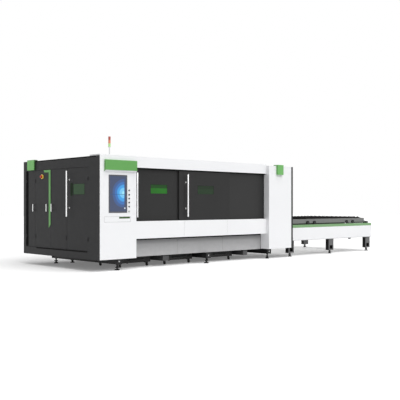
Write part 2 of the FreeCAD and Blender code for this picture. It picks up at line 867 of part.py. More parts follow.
def monitor_housing():
    """Monitor body behind the cut-out, with its bezel lapping the recessed wall."""
    m0, m1, m2, m3 = monitor
    bezel = box(m0, m1, recess_depth - monitor_lip, recess_depth, m2, m3)
    body = box(m0 + monitor_lap, m1 - monitor_lap, recess_depth, recess_depth + monitor_body_depth,
               m2 + monitor_lap, m3 - monitor_lap)
    pocket = box(m0 + monitor_bezel, m1 - monitor_bezel, recess_depth - monitor_lip - over,
                 recess_depth - monitor_lip + screen_recess, m2 + monitor_bezel, m3 - monitor_bezel)
    return join([bezel, body]).cut(pocket)


def monitor_screen():
    """Glass of the monitor, seated on the floor of its pocket."""
    edge = monitor_bezel + screen_clearance
    m0, m1, m2, m3 = monitor
    back = recess_depth - monitor_lip + screen_recess
    return box(m0 + edge, m1 - edge, back - screen_thickness, back, m2 + edge, m3 - edge)


def push_button(z):
    """Cap on a stem through the wall, held by a collar disc behind it."""
    gap = button_travel + run_gap
    cap = rod(button_radius, (button_x, recess_depth - button_reach, z), (button_x, recess_depth - gap, z))
    stem = rod(button_stem_radius, (button_x, recess_depth - gap, z),
               (button_x, front_wall + button_travel + sheet, z))
    disc = rod(button_radius, (button_x, front_wall + run_gap, z), (button_x, front_wall + sheet, z))
    return join([cap, stem, disc])


def keyboard_drawer():
    """Drawer with a front that fills the opening, a finger slot, a floor and low walls."""
    d0, d1, d2, d3 = drawer_opening
    gap = door_gap / 2
    front = box(d0 + gap, d1 - gap, 0, drawer_front_thickness, d2 + run_gap, d3 - gap)
    f0, f1, depth = finger_slot
    front = front.cut(box(f0, f1, -over, drawer_front_thickness + over, d3 - depth, d3))
    outer = box(d0 + 2 * gap, d1 - 2 * gap, drawer_front_thickness, drawer_length,
                d2 + run_gap, d2 + drawer_side_height)
    wall = drawer_wall
    inner = box(d0 + 2 * gap + wall, d1 - 2 * gap - wall, drawer_front_thickness, drawer_length - wall,
                d2 + run_gap + wall, d2 + drawer_side_height + over)
    return join([front, outer.cut(inner)])


def keyboard():
    """Keyboard with its rows of keys, lying on the drawer's floor."""
    d0, d1, d2 = drawer_opening[:3]
    length, depth, height = keyboard_size
    x0 = (d0 + d1 - length) / 2
    y0 = drawer_front_thickness + keyboard_setback
    z0 = d2 + run_gap + drawer_wall
    solids = [box(x0, x0 + length, y0, y0 + depth, z0, z0 + height)]
    pitch = (depth - key_row_gap) / key_rows
    for k in range(key_rows):
        y = y0 + key_row_gap + pitch * k
        solids.append(box(x0 + key_row_gap, x0 + length - key_row_gap, y, y + pitch - key_row_gap,
                          z0 + height, z0 + height + key_row_height))
    return join(solids)


def signal_light():
    """Pole, and the three stacked lenses from the bottom up."""
    z = front_top
    flange = rod(light_flange_radius, (light_x, light_y, z), (light_x, light_y, z + light_flange_height))
    pole_top = z + light_flange_height + light_pole_height
    pole = rod(light_pole_radius, (light_x, light_y, z), (light_x, light_y, pole_top))
    seat = rod(light_radius, (light_x, light_y, pole_top), (light_x, light_y, pole_top + light_base_height))
    lenses = []
    z = pole_top + light_base_height
    for k in range(3):
        lenses.append(rod(light_radius, (light_x, light_y, z), (light_x, light_y, z + lens_height)))
        z += lens_height
    edges = [e for e in lenses[2].Edges if e.CenterOfMass.z > z - run_gap and e.Length > light_radius * 4]
    lenses[2] = lenses[2].makeFillet(lens_round, edges)
    return join([flange, pole, seat]), lenses


# ---------------------------------------------------------------- doors

def long_handle(x, face):
    """Round bar on two posts, standing off a door face that looks along -Y."""
    y = face - handle_stand_off
    solids = [rod(handle_radius, (x, y, handle_bottom), (x, y, handle_top))]
    for z in handle_posts:
        solids.append(rod(handle_post_radius, (x, y, z), (x, face, z)))
    return join(solids)


def sliding_window(span, face):
    """Pane behind the skin of a sliding door."""
    y = face + leaf_skin
    lap = window_lap
    return box(span[0] - lap, span[1] + lap, y, y + window_thickness, window_sill - lap, window_head + lap)


def end_leaf(y0, y1):
    """Folded leaf of an end door: outer skin with stiles round the back."""
    z0 = end_opening[2] + door_gap
    z1 = end_opening[3] - door_gap
    leaf = box(end_leaf_outer, end_leaf_inner - run_gap, y0, y1, z0, z1)
    stile = end_leaf_stile
    return leaf.cut(box(end_leaf_outer + leaf_skin, 0, y0 + stile, y1 - stile, z0 + stile, z1 - stile))


def end_handle(y, span, posts, radius, post_radius, reach):
    """Bar handle on an end door, on posts from the leaf's face."""
    x = end_leaf_outer - reach
    solids = [rod(radius, (x, y, span[0]), (x, y, span[1]))]
    for z in posts:
        solids.append(rod(post_radius, (x, y, z), (end_leaf_outer, y, z)))
    return join(solids)


def service_door():
    """Front-most end door with its window hole and long handle."""
    half = mullion_width / 2
    leaf = end_leaf(end_opening[0] + door_gap, service_post_y - half - door_gap)
    y0, y1, z0, z1 = side_window
    leaf = leaf.cut(box(-end_frame_thickness, 0, y0, y1, z0, z1))
    bar = end_handle(service_handle_y, service_handle[:2], service_handle[2:], handle_radius,
                     service_post_radius, handle_stand_off)
    return group([leaf, bar] + moving_knuckles(end_opening[0], 1, -end_frame_thickness))


def service_door_window():
    """Pane behind the service door's skin."""
    y0, y1, z0, z1 = side_window
    lap = window_lap
    x = end_leaf_outer + leaf_skin
    return box(x, x + window_thickness, y0 - lap, y1 + lap, z0 - lap, z1 + lap)


def small_door(leaf, handle_y, hinge_y, side, mount_face):
    """Cabinet door with a short bar handle and its hinge halves."""
    bar = end_handle(handle_y, small_handle, small_handle_posts, small_handle_radius,
                     small_post_radius, small_handle_reach)
    return group([leaf, bar] + moving_knuckles(hinge_y, side, mount_face))


def right_cabinet_door():
    """Right leaf of the pair in front of the electrical bay."""
    y0 = service_post_y + mullion_width / 2
    leaf = end_leaf(y0 + door_gap, pair_seam_y - door_gap / 2)
    return small_door(leaf, right_door_handle_y, y0, 1, end_leaf_outer)


def left_cabinet_door():
    """Left leaf of the pair, with the hole and collar of the stop button."""
    y1 = narrow_post_y - mullion_width / 2
    leaf = end_leaf(pair_seam_y + door_gap / 2, y1 - door_gap)
    y, z = stop_button_y, stop_button_z
    front = end_leaf_outer - stop_collar_height
    collar = rod(stop_collar_radius, (front, y, z), (end_leaf_outer, y, z))
    hole = rod(stop_stem_radius + run_gap, (front - over, y, z), (0, y, z))
    leaf = join([leaf, collar]).cut(hole)
    return small_door(leaf, left_door_handle_y, y1, -1, end_leaf_outer)


def narrow_door():
    """Rear-most end door."""
    y0 = narrow_post_y + mullion_width / 2 + door_gap
    y1 = end_opening[1]
    return small_door(end_leaf(y0, y1 - door_gap), narrow_door_handle_y, y1, -1, -end_frame_thickness)


def emergency_stop():
    """Mushroom head on a stem through the collar, with a stop disc behind the skin."""
    y, z = stop_button_y, stop_button_z
    face = end_leaf_outer - stop_collar_height
    under = face - stop_travel - run_gap
    head = rod(stop_head_radius, (under - stop_head_height, y, z), (under, y, z))
    outer = [e for e in head.Edges if e.CenterOfMass.x < under - stop_head_height + run_gap]
    head = head.makeFillet(stop_head_round, [e for e in outer if e.Length > stop_head_radius])
    back = end_leaf_outer + leaf_skin
    stem = rod(stop_stem_radius, (under, y, z), (back + run_gap, y, z))
    disc = rod(stop_stem_radius + sheet, (back + run_gap, y, z), (back + sheet, y, z))
    return join([head, stem, disc])


def green_trim_strip():
    """Flat accent strip on the left cabinet door: an upright with a tapered foot and a short slanted arm."""
    y0, y1, z0, z1 = strip_upright
    outline = [
        (y0, z1), (y0, z0 + strip_taper), (y1, z0), (y1, z1 - strip_arm_height),
        (strip_arm_end - strip_arm_slant, z1 - strip_arm_height), (strip_arm_end, z1),
    ]
    return extrude([(end_leaf_outer - strip_thickness, y, z) for y, z in outline], (strip_thickness, 0, 0))


# ---------------------------------------------------------------- electrical bay

def electrical_backplate():
    """Mounting plate on stand-offs from the partition, with rows of switchgear and drives."""
    y0, y1, z0, z1 = backplate
    x1 = cabinet_width - backplate_stand_off
    x0 = x1 - sheet
    solids = [box(x0, x1, y0, y1, z0, z1)]
    for y in (y0 + leaf_stile, y1 - leaf_stile):
        for z in (z0 + leaf_stile, z1 - leaf_stile):
            solids.append(rod(stand_off_radius, (x1, y, z), (cabinet_width, y, z)))
    row = (z1 - z0) / bay_part_rows
    column = (y1 - y0) / bay_part_columns
    for r in range(bay_part_rows):
        for c in range(bay_part_columns):
            depth = bay_part_depths[(r + c) % len(bay_part_depths)]
            y = y0 + column * c + bay_part_gap / 2
            z = z0 + row * r + bay_row_gap / 2
            solids.append(box(x0 - depth, x0, y, y + column - bay_part_gap, z, z + row - bay_row_gap))
    return join(solids)


def laser_source():
    """Laser source housing on two runners between the bay beams, with its fan ring."""
    x0, y0 = source_place
    lx, ly, lz = source_size
    z0 = side_beam_top
    body = box(x0, x0 + lx, y0, y0 + ly, z0, z0 + lz)
    fan_z = z0 + lz / 2
    fan = rod(source_fan_radius, (x0 - 2 * sheet, y0 + ly / 2, fan_z), (x0, y0 + ly / 2, fan_z))
    runners = []
    for x in (x0 + leaf_stile, x0 + lx - 2 * leaf_stile):
        tie = cabinet_depth + sheet + side_beam_width
        runners.append(box(x, x + leaf_stile, tie, 2 * mid_y - tie, z0 - leaf_stile, z0))
    return join([body, fan] + runners)


# ---------------------------------------------------------------- portal

def portal_beam():
    """Hollow cross beam on a shoe at each end, with two rails for the carriage on its face."""
    x0 = portal_left + (portal_shoe_length - portal_beam_width) / 2
    x1 = x0 + portal_beam_width
    z0 = portal_beam_bottom
    z1 = z0 + portal_beam_height
    y0 = guide_y - run_gap
    y1 = 2 * mid_y - y0
    beam = tube_y(x0, x1, y0, y1, z0, z1, portal_beam_wall)
    shoe_bottom = bed_top + guide_height + run_gap
    shoe = box(portal_left, portal_left + portal_shoe_length, y0, y0 + guide_width + 2 * run_gap,
               shoe_bottom, z0)
    web = box(x0, x1, y0, y0 + bed_flange, shoe_bottom + guide_height, z0)
    rails = []
    for z in (z0 + cross_rail_height, z1 - 2 * cross_rail_height):
        rails.append(box(x1, x1 + cross_rail_depth, y0, y1, z, z + cross_rail_height))
    return join([beam, shoe, mirrored(shoe), web, mirrored(web)] + rails)


def portal_face():
    """X of the front of the carriage rails."""
    return portal_left + (portal_shoe_length + portal_beam_width) / 2 + cross_rail_depth


def cross_carriage():
    """Plate that runs on the beam's rails, with the rails of the head slide on its front."""
    x0 = portal_face() + run_gap
    z0 = portal_beam_bottom + run_gap
    y0 = carriage_start
    plate = box(x0, x0 + carriage_plate, y0, y0 + carriage_width, z0, z0 + carriage_height)
    length, width, height = carriage_motor_size
    motor_top = z0 + carriage_height + carriage_motor_rise
    motor = box(x0, x0 + length, y0 + sheet, y0 + sheet + width, motor_top - height, motor_top)
    return join([plate, motor])


def cutting_head():
    """Slide plate with the round head, the sensor ring and the nozzle below it."""
    x0 = portal_face() + 2 * run_gap + carriage_plate
    yc = carriage_start + head_offset
    half = head_slide_width / 2
    tip = head_tip
    slide = box(x0, x0 + head_slide_depth, yc - half, yc + half, tip + 2 * nozzle_height,
                tip + 2 * nozzle_height + head_slide_height)
    xc = x0 + head_slide_depth + head_body_radius
    body = rod(head_body_radius, (xc, yc, tip + 2 * nozzle_height), (xc, yc, tip + head_slide_height))
    pad = box(x0 + head_slide_depth, xc, yc - head_body_radius / 2, yc + head_body_radius / 2,
              tip + 2 * nozzle_height, tip + head_slide_height)
    cone = Part.makeCone(nozzle_foot_radius, head_cone_radius, nozzle_height,
                         FreeCAD.Vector(xc, yc, tip + nozzle_height))
    nozzle = Part.makeCone(nozzle_radius, nozzle_foot_radius, nozzle_height, FreeCAD.Vector(xc, yc, tip))
    return join([slide, body, pad, cone, nozzle])


# ---------------------------------------------------------------- exchange table

def table_frame():
    """Side beams with the lower rails, cross tubes, pocketed legs, end beam, gear motor and end stops."""
    x0 = table_start
    x1 = table_end - sheet
    y0 = table_plane + sheet
    y1 = y0 + table_beam_width
    beam = tube_x(x0, x1, y0, y1, table_beam_bottom, rail_bottom, bed_wall)
    ledge = box(x0, x1, y1, web_back + rail_reach, lower_level - rail_plate, lower_level)
    solids = [join([beam, ledge])]
    for place in leg_places:
        cross_x = place - table_cross_width / 2
        solids.append(tube_y(cross_x, cross_x + table_cross_width, y1, 2 * mid_y - y1,
                             table_beam_bottom - table_cross_height, table_beam_bottom, bed_wall))
    for place in leg_places:
        leg_y = table_plane + leg_setback
        leg_x0 = place - leg_width / 2
        leg_x1 = place + leg_width / 2
        leg = box(leg_x0, leg_x1, leg_y, y1, table_foot_height, table_beam_bottom)
        foot = box(leg_x0, leg_x1, y1, leg_y + leg_depth,
                   table_foot_height, table_beam_bottom - table_cross_height)
        width, height, depth = leg_pocket
        sill = table_foot_height + leg_pocket_sill
        pocket = box(place - width / 2, place + width / 2, leg_y - over, leg_y + depth,
                     sill, sill + height)
        solids.append(join([leg, foot]).cut(pocket))
    sides = [solids[0], mirrored(solids[0])] + solids[1:1 + len(leg_places)]
    for leg in solids[1 + len(leg_places):]:
        sides += [leg, mirrored(leg)]
    sides.append(box(x1 - bed_wall, x1, y1, 2 * mid_y - y1, lower_level, rail_bottom))
    sides.append(gear_motor())
    sides += [end_stop(), mirrored(end_stop())]
    return group(sides)


def end_stop():
    """Block on the end of the upper rail, with an arm in front of the pallet's frame."""
    x0 = pallet_start + pallet_length + run_gap
    y1 = web_back + rail_reach
    block = box(x0, x0 + end_stop_length, y1 - end_stop_width, y1,
                upper_level, upper_level + end_stop_height)
    arm_x = x0 + end_stop_arm_length
    z0 = upper_level + end_stop_arm_rise
    z1 = z0 + end_stop_arm_height
    arm = box(x0, arm_x, y1, y1 + end_stop_arm_reach, z0, z1)
    shoulder = box(x0, arm_x, y1 - sheet, y1, upper_level, z1)
    return join([block, arm, shoulder])


def gear_motor():
    """Hollow-shaft gear motor round the drive shaft, hanging from the end beam."""
    x1 = table_end - sheet - bed_wall
    y0 = gearbox_y - gearbox_width / 2
    y1 = y0 + gearbox_width
    zc = shaft_height()
    case = box(shaft_x - gearbox_front, x1, y0, y1, zc - gearbox_below, zc + gearbox_above)
    motor_x = x1 - gear_motor_setback
    motor = rod(gear_motor_radius, (motor_x, gearbox_y, zc - gearbox_below - gear_motor_length),
                (motor_x, gearbox_y, zc - gearbox_below))
    bore = rod(shaft_radius + run_gap, (shaft_x, y0 - over, zc), (shaft_x, y1 + over, zc))
    return join([case, motor]).cut(bore)


def table_side_panels():
    """White side panels with folded edges, and the end panel between them."""
    x0 = table_start
    y = table_plane
    outline = [
        (y, panel_bottom), (y + panel_return, panel_bottom), (y + panel_return, panel_bottom + sheet),
        (y + sheet, panel_bottom + sheet), (y + sheet, rail_bottom), (y, rail_bottom),
    ]
    side = extrude([(x0, p, z) for p, z in outline], (table_end - x0, 0, 0))
    end = box(table_end - sheet, table_end, y + sheet, 2 * mid_y - y - sheet,
              panel_bottom + sheet, rail_bottom)
    return group([side, mirrored(side), end])


def table_rails():
    """Green upper rails on the side beams, with the drive shaft's bearing blocks inside."""
    x0 = table_start
    y0 = web_back + rail_reach
    rail = tube_x(x0, table_end, table_plane, y0, rail_bottom, upper_level, table_rail_wall)
    zc = shaft_height()
    block = box(shaft_x - bearing_size / 2, shaft_x + bearing_size / 2, y0, y0 + bearing_length,
                rail_bottom, upper_level - sheet)
    bore = rod(shaft_radius + bearing_play, (shaft_x, y0 + sheet, zc),
               (shaft_x, y0 + bearing_length + over, zc))
    side = join([rail, block.cut(bore)])
    return group([side, mirrored(side)])


# ---------------------------------------------------------------- chain drive

def shaft_height():
    """Height of the drive shaft, so that the upper strand runs just under the pallet frame."""
    return upper_level + pallet_frame_drop - chain_drop - chain_height - sprocket_radius


def drive_shaft():
    """Drive shaft with a sprocket for each chain."""
    y0 = web_back + rail_reach + 2 * sheet
    zc = shaft_height()
    solids = [rod(shaft_radius, (shaft_x, y0, zc), (shaft_x, 2 * mid_y - y0, zc))]
    for y in (chain_y, 2 * mid_y - chain_y - sprocket_width):
        disc = rod(sprocket_radius, (shaft_x, y, zc), (shaft_x, y + sprocket_width, zc))
        for k in range(3):
            turn = math.radians(120 * k)
            x = shaft_x + sprocket_hole_circle * math.cos(turn)
            z = zc + sprocket_hole_circle * math.sin(turn)
            hole = rod(sprocket_hole_radius, (x, y - over, z), (x, y + sprocket_width + over, z))
            disc = disc.cut(hole)
        solids.append(disc)
    return join(solids)


def chain_loop(y):
    """Closed chain band round the drive sprocket and the idler."""
    zc = shaft_height()
    inner = sprocket_radius + run_gap
    outer = inner + chain_height - run_gap
    width = sprocket_width

    def stadium(radius, y0, y1):
        straight = box(idler_x, shaft_x, y0, y1, zc - radius, zc + radius)
        ends = [rod(radius, (x, y0, zc), (x, y1, zc)) for x in (idler_x, shaft_x)]
        return join([straight] + ends)

    band = stadium(outer, y, y + width).cut(stadium(inner, y - over, y + width + over))
    idler = rod(inner, (idler_x, y, zc), (idler_x, y + width, zc))
    pin_end = web_back
    pin = rod(shaft_radius, (idler_x, min(y, pin_end), zc), (idler_x, max(y, pin_end), zc))
    return join([band, idler, pin])


def drive_chains():
    """The two pallet chains with their idlers on stub pins from the bed walls."""
    front = chain_loop(chain_y)
    return group([front, mirrored(front)])


# ---------------------------------------------------------------- pallets

def pallet_frame(level, x0):
    """Rectangular tube frame with ledges and comb bars for the slats, and its flanged wheels."""
    x1 = x0 + pallet_length
    y0 = pallet_side
    y1 = 2 * mid_y - y0
    z0 = level + pallet_frame_drop
    z1 = z0 + pallet_frame_height
    w = pallet_frame_width
    rim = box(x0, x1, y0, y1, z0, z1).cut(box(x0 + w, x1 - w, y0 + w, y1 - w, z0 - over, z1 + over))
    solids = [rim]
    ledge = box(x0 + w, x1 - w, y0 + w, y0 + w + pallet_ledge, z0, slat_floor(level))
    solids += [ledge, mirrored(ledge)]
    comb = box(x0 + w, x1 - w, mid_y - comb_offset - comb_thickness, mid_y - comb_offset,
               z0, z0 + comb_height)
    for x in slat_places(x0):
        comb = comb.cut(box(x - run_gap, x + slat_thickness + run_gap, 0, mid_y, slat_floor(level), z1))
    solids += [comb, mirrored(comb)]
    zc = level + run_gap + wheel_radius
    wheel_y = y0 - wheel_side_gap - wheel_width
    for offset in wheel_offsets:
        x = x0 + offset
        boss = rod(wheel_boss_radius, (x, wheel_y, zc), (x, y0, zc))
        wheel = rod(wheel_radius, (x, wheel_y, zc), (x, y0 - wheel_side_gap, zc))
        solids += [boss, wheel, mirrored(boss), mirrored(wheel)]
    return join(solids)


def slat_floor(level):
    """Height of the ledges that the slats stand on."""
    return level + pallet_frame_drop + slat_floor_height


def slat_places(x0):
    """Left faces of the slats along the pallet."""
    edge = pallet_frame_width + slat_end_gap
    pitch = (pallet_length - 2 * edge - slat_thickness) / (slat_count - 1)
    return [x0 + edge + pitch * k for k in range(slat_count)]


def slat(level, x):
    """One support slat with its row of points along the top."""
    gap = run_gap
    y0 = pallet_side + pallet_frame_width + gap
    y1 = 2 * mid_y - y0
    z0 = slat_floor(level)
    valley = level + slat_tip + pallet_frame_drop - slat_tooth_height
    pitch = (y1 - y0 - 2 * slat_land) / slat_teeth
    outline = [(y0, z0), (y0, valley)]
    for k in range(slat_teeth):
        start = y0 + slat_land + pitch * k
        outline.append((start, valley))
        outline.append((start + pitch / 2, valley + slat_tooth_height))
    outline += [(y1 - slat_land, valley), (y1, valley), (y1, z0)]
    return extrude([(x, y, z) for y, z in outline], (slat_thickness, 0, 0))


def pallet_slats(level, x0):
    """The whole row of support slats."""
    return [slat(level, x) for x in slat_places(x0)]


# ---------------------------------------------------------------- scrap trays

def scrap_tray(centre):
    """Open sheet tray with a pull rail at the front and four casters."""
    x0 = centre - tray_width / 2
    x1 = centre + tray_width / 2
    body = box(x0, x1, tray_front, tray_back, tray_bottom, tray_top)
    wall = tray_wall
    body = body.cut(box(x0 + wall, x1 - wall, tray_front + wall, tray_back - wall,
                        tray_bottom + wall, tray_top + over))
    solids = [body]
    for x in (x0 + caster_inset, x1 - caster_inset):
        for y in (tray_front + 2 * caster_inset, tray_back - 2 * caster_inset):
            half = caster_width / 2
            solids.append(rod(caster_radius, (x - half, y, caster_radius), (x + half, y, caster_radius)))
            solids.append(box(x - half - wall, x - half, y - half, y + half,
                              caster_radius - wall, tray_bottom))
            solids.append(box(x - half - wall, x + half, y - half, y + half,
                              2 * caster_radius + wall, tray_bottom))
    pull_z = tray_top - 2 * caster_width
    grip = rod(tray_grip_radius, (centre - tray_width / 4, tray_front - caster_inset, pull_z),
               (centre + tray_width / 4, tray_front - caster_inset, pull_z))
    solids.append(grip)
    for x in (centre - tray_width / 4, centre + tray_width / 4):
        solids.append(rod(tray_grip_radius, (x, tray_front - caster_inset, pull_z), (x, tray_front, pull_z)))
    return join(solids)


# ---------------------------------------------------------------- all pieces

def all_pieces():
    """Every piece by name, in the working frame."""
    pole, lenses = signal_light()
    pieces = {
        "bed_frame": bed_frame(),
        "guide_rails": guide_rails(),
        "levelling_feet": levelling_feet(),
        "left_end_frame": left_end_frame(),
        "right_end_frame": right_end_frame(),
        "rear_panels": rear_panels(),
        "roof_panel": roof_panels(),
        "front_panels": front_panels(),
        "skirt_panels": skirt_panels(),
        "fixed_front_panel": fixed_front_panel(),
        "door_tracks": door_tracks(),
        "control_cabinet": control_cabinet(),
        "cabinet_fascia": cabinet_fascia(),
        "monitor_housing": monitor_housing(),
        "monitor_screen": monitor_screen(),
        "right_column": right_column(),
        "corner_blocks": corner_blocks(),
        "chamber_partition": chamber_partition(),
        "electrical_backplate": electrical_backplate(),
        "laser_source": laser_source(),
        "signal_light_pole": pole,
        "green_lens": lenses[0],
        "amber_lens": lenses[1],
        "red_lens": lenses[2],
        "table_frame": table_frame(),
        "table_side_panels": table_side_panels(),
        "table_rails": table_rails(),
        "drive_chains": drive_chains(),
        "drive_shaft": drive_shaft(),
        "upper_pallet_frame": pallet_frame(upper_level, pallet_start),
        "upper_pallet_slats": group(pallet_slats(upper_level, pallet_start)),
        "lower_pallet_frame": pallet_frame(lower_level, lower_pallet_start),
        "lower_pallet_slats": group(pallet_slats(lower_level, lower_pallet_start)),
        "left_sliding_door": pocketed_leaf(left_leaf_start, left_leaf_end, second_slot, left_window),
        "left_door_window": sliding_window(left_window, second_slot),
        "left_door_handle": long_handle(left_handle_x, second_slot),
        "right_sliding_door": pocketed_leaf(right_leaf_start, right_leaf_end, track_first_slot,
                                            right_window),
        "right_door_window": sliding_window(right_window, track_first_slot),
        "right_door_handle": long_handle(right_handle_x, track_first_slot),
        "service_door": service_door(),
        "service_door_window": service_door_window(),
        "right_cabinet_door": right_cabinet_door(),
        "left_cabinet_door": left_cabinet_door(),
        "green_trim_strip": green_trim_strip(),
        "narrow_door": narrow_door(),
        "emergency_stop": emergency_stop(),
        "portal_beam": portal_beam(),
        "cross_carriage": cross_carriage(),
        "cutting_head": cutting_head(),
        "keyboard_drawer": keyboard_drawer(),
        "keyboard": keyboard(),
    }
    for number, z in enumerate(button_heights, 1):
        pieces["push_button_%d" % number] = push_button(z)
    for number, x in enumerate(tray_places, 1):
        pieces["scrap_tray_%d" % number] = scrap_tray(x)
    return pieces


def footprint_shift(pieces):
    """Move from the working frame to the part's origin, the middle of its footprint on the floor."""
    bounds = FreeCAD.BoundBox()
    for shape in pieces.values():
        bounds.add(shape.BoundBox)
    return FreeCAD.Vector(-bounds.Center.x, -bounds.Center.y, -bounds.ZMin)


def main():
    os.makedirs("parts", exist_ok=True)
    pieces = all_pieces()
    shift = footprint_shift(pieces)
    for name, shape in pieces.items():
        shape.translate(shift)
        shape.exportStep("parts/" + name + ".step")


if __name__ == "__main__":
    main()
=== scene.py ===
import bpy
import bmesh
import json
import math
import numpy as np
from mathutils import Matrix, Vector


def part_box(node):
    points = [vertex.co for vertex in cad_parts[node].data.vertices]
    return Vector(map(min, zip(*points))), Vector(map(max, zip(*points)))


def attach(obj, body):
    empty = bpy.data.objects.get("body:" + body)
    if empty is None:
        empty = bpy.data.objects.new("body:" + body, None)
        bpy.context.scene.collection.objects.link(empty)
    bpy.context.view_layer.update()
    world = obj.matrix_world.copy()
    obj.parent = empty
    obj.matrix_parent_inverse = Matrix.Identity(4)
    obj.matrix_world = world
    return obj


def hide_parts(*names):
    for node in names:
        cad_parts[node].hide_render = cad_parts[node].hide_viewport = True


# Fiber laser cutting machine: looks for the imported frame. Lengths in metres, colours linear.

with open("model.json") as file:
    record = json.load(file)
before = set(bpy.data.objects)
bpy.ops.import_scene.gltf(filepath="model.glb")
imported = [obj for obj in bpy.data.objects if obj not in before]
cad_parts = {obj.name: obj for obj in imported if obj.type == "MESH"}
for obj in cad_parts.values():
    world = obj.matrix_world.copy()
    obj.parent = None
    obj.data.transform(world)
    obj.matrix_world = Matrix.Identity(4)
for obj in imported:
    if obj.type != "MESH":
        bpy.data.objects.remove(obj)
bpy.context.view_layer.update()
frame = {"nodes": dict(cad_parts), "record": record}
print("stage: frame loaded,", len(frame["nodes"]), "nodes")

slotOf = {s["node"]: s["material_slot"] for s in frame["record"]["subparts"]}
bodyOf = {n: b for b, nodes in frame["record"]["behaviour"]["bodies"].items() for n in nodes}


def corners(node):  # lowest and highest corner of a node, as arrays
    lo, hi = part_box(node)
    return np.array(lo), np.array(hi)


home = corners("control_cabinet")[0] * (1, 1, 0)  # floor point under the cabinet's front left corner


def at(x, y, z):  # a point given from home: right, back, up
    return home + (x, y, z)


# Planes that several pieces lie on, from home
doorFace, frameFace = -0.030, -0.040  # outer faces of the left end's doors and of the frame round them
skirtFace, rearFace, roofTop = 0.253, 2.667, 2.105
tableFaces = (0.150, 2.348)  # outer faces of the table's side panels, front and rear


# Shader groups. Each puts out a colour, a roughness and a height that change over the surface.

def fill(tree, node, values):  # by its label or number, a socket is linked to an output or set to a value
    for label, value in values.items():
        socket = node.inputs[label]
        if isinstance(value, bpy.types.NodeSocket):
            tree.links.new(value, socket)
        else:
            socket.default_value = tuple(value) + (1.0,) if socket.type == "RGBA" else value


def newGroup(name, values):
    # a new group with a socket for each value, where a tone makes a colour and any other tuple a vector;
    # gives the group, what enters it and its exit node
    group = bpy.data.node_groups.new(name, "ShaderNodeTree")
    sockets = group.interface
    sockets.new_socket("Vector", in_out="INPUT", socket_type="NodeSocketVector")
    for label, value in values.items():
        kind = "Color" if label.endswith("Tone") else "Vector" if isinstance(value, tuple) else "Float"
        socket = sockets.new_socket(label, in_out="INPUT", socket_type="NodeSocket" + kind)
        socket.default_value = value + (1.0,) if kind == "Color" else value
    for label, kind in (("Colour", "Color"), ("Roughness", "Float"), ("Height", "Float")):
        sockets.new_socket(label, in_out="OUTPUT", socket_type="NodeSocket" + kind)
    return group, group.nodes.new("NodeGroupInput").outputs, group.nodes.new("NodeGroupOutput")


def mathNode(tree, operation, first, second=0.0, clamp=False):  # two numbers or outputs, one operation
    node = tree.nodes.new("ShaderNodeMath")
    node.operation = operation
    node.use_clamp = clamp
    fill(tree, node, {0: first, 1: second})
    return node.outputs[0]


def noiseNode(tree, vector, scale, detail, roughness=0.5):  # cloudy value, about 0.5 in the middle
    node = tree.nodes.new("ShaderNodeTexNoise")
    fill(tree, node, {"Vector": vector, "Scale": scale, "Detail": detail, "Roughness": roughness})
    return node.outputs["Fac"]


def mixColours(tree, factor, first, second):  # first colour at factor 0, second at 1
    node = tree.nodes.new("ShaderNodeMix")
    node.data_type = "RGBA"
    fill(tree, node, {"Factor": factor, 6: first, 7: second})  # 6 and 7 are the colour sockets
    return node.outputs[2]


def rampNode(tree, value, low, high, toLow=0.0, toHigh=1.0):  # straight ramp, held beyond its ends
    node = tree.nodes.new("ShaderNodeMapRange")
    fill(tree, node, {"Value": value, "From Min": low, "From Max": high, "To Min": toLow, "To Max": toHigh})
    return node.outputs["Result"]


def splitNode(tree, vector):  # X, Y and Z of a vector
    node = tree.nodes.new("ShaderNodeSeparateXYZ")
    tree.links.new(vector, node.inputs[0])
    return node.outputs


def putOut(group, given, leave, colour, height, mask):
    # links what the group puts out; the mask takes the roughness from Gloss Low to Gloss High
    roughness = rampNode(group, mask, 0.25, 0.75, given["Gloss Low"], given["Gloss High"])
    fill(group, leave, {"Colour": colour, "Roughness": roughness, "Height": height})
    return group


# colour of the painted shade that darkens the top of the skirt under the ledge
paintedShadeTone = (0.03, 0.03, 0.031)


def buildPowderGroup():
    # powder coat: orange peel height, slow drift of tone, smudged sheen, and dust that thins out upwards,
    # which on the skirt is painted floor-bounce light that lightens its lower part; painted shade thickens
    # upwards between two heights, the shade under the ledge over the skirt
    group, given, leave = newGroup("powderCoat", {
        "Peel Scale": 420.0, "Drift Scale": 1.3, "Tone": (0.5, 0.5, 0.5), "Second Tone": (0.4, 0.4, 0.4),
        "Dust And Bounce Tone": (0.3, 0.29, 0.28), "Dust And Bounce Top": 0.45, "Dust And Bounce Share": 0.12, "Painted Shade Low": 5.0,
        "Painted Shade Top": 6.0, "Painted Shade Share": 0.0, "Gloss Low": 0.35, "Gloss High": 0.5})
    vector = given["Vector"]
    peel = noiseNode(group, vector, given["Peel Scale"], 2.0)
    drift = noiseNode(group, vector, given["Drift Scale"], 3.0)
    smudge = noiseNode(group, vector, 9.0, 5.0, 0.65)
    clean = mixColours(group, drift, given["Tone"], given["Second Tone"])
    height = splitNode(group, vector)["Z"]
    film = rampNode(group, height, 0.0, given["Dust And Bounce Top"], given["Dust And Bounce Share"], 0.0)
    dustAndBounce = mathNode(group, "MULTIPLY", film, mathNode(group, "MULTIPLY", smudge, 2.0), True)
    dustyAndBounced = mixColours(group, dustAndBounce, clean, given["Dust And Bounce Tone"])
    # painted shade that thickens upwards between two heights
    paintedShade = rampNode(group, height, given["Painted Shade Low"], given["Painted Shade Top"], 0.0, given["Painted Shade Share"])
    return putOut(group, given, leave, mixColours(group, paintedShade, dustyAndBounced, paintedShadeTone), peel, smudge)


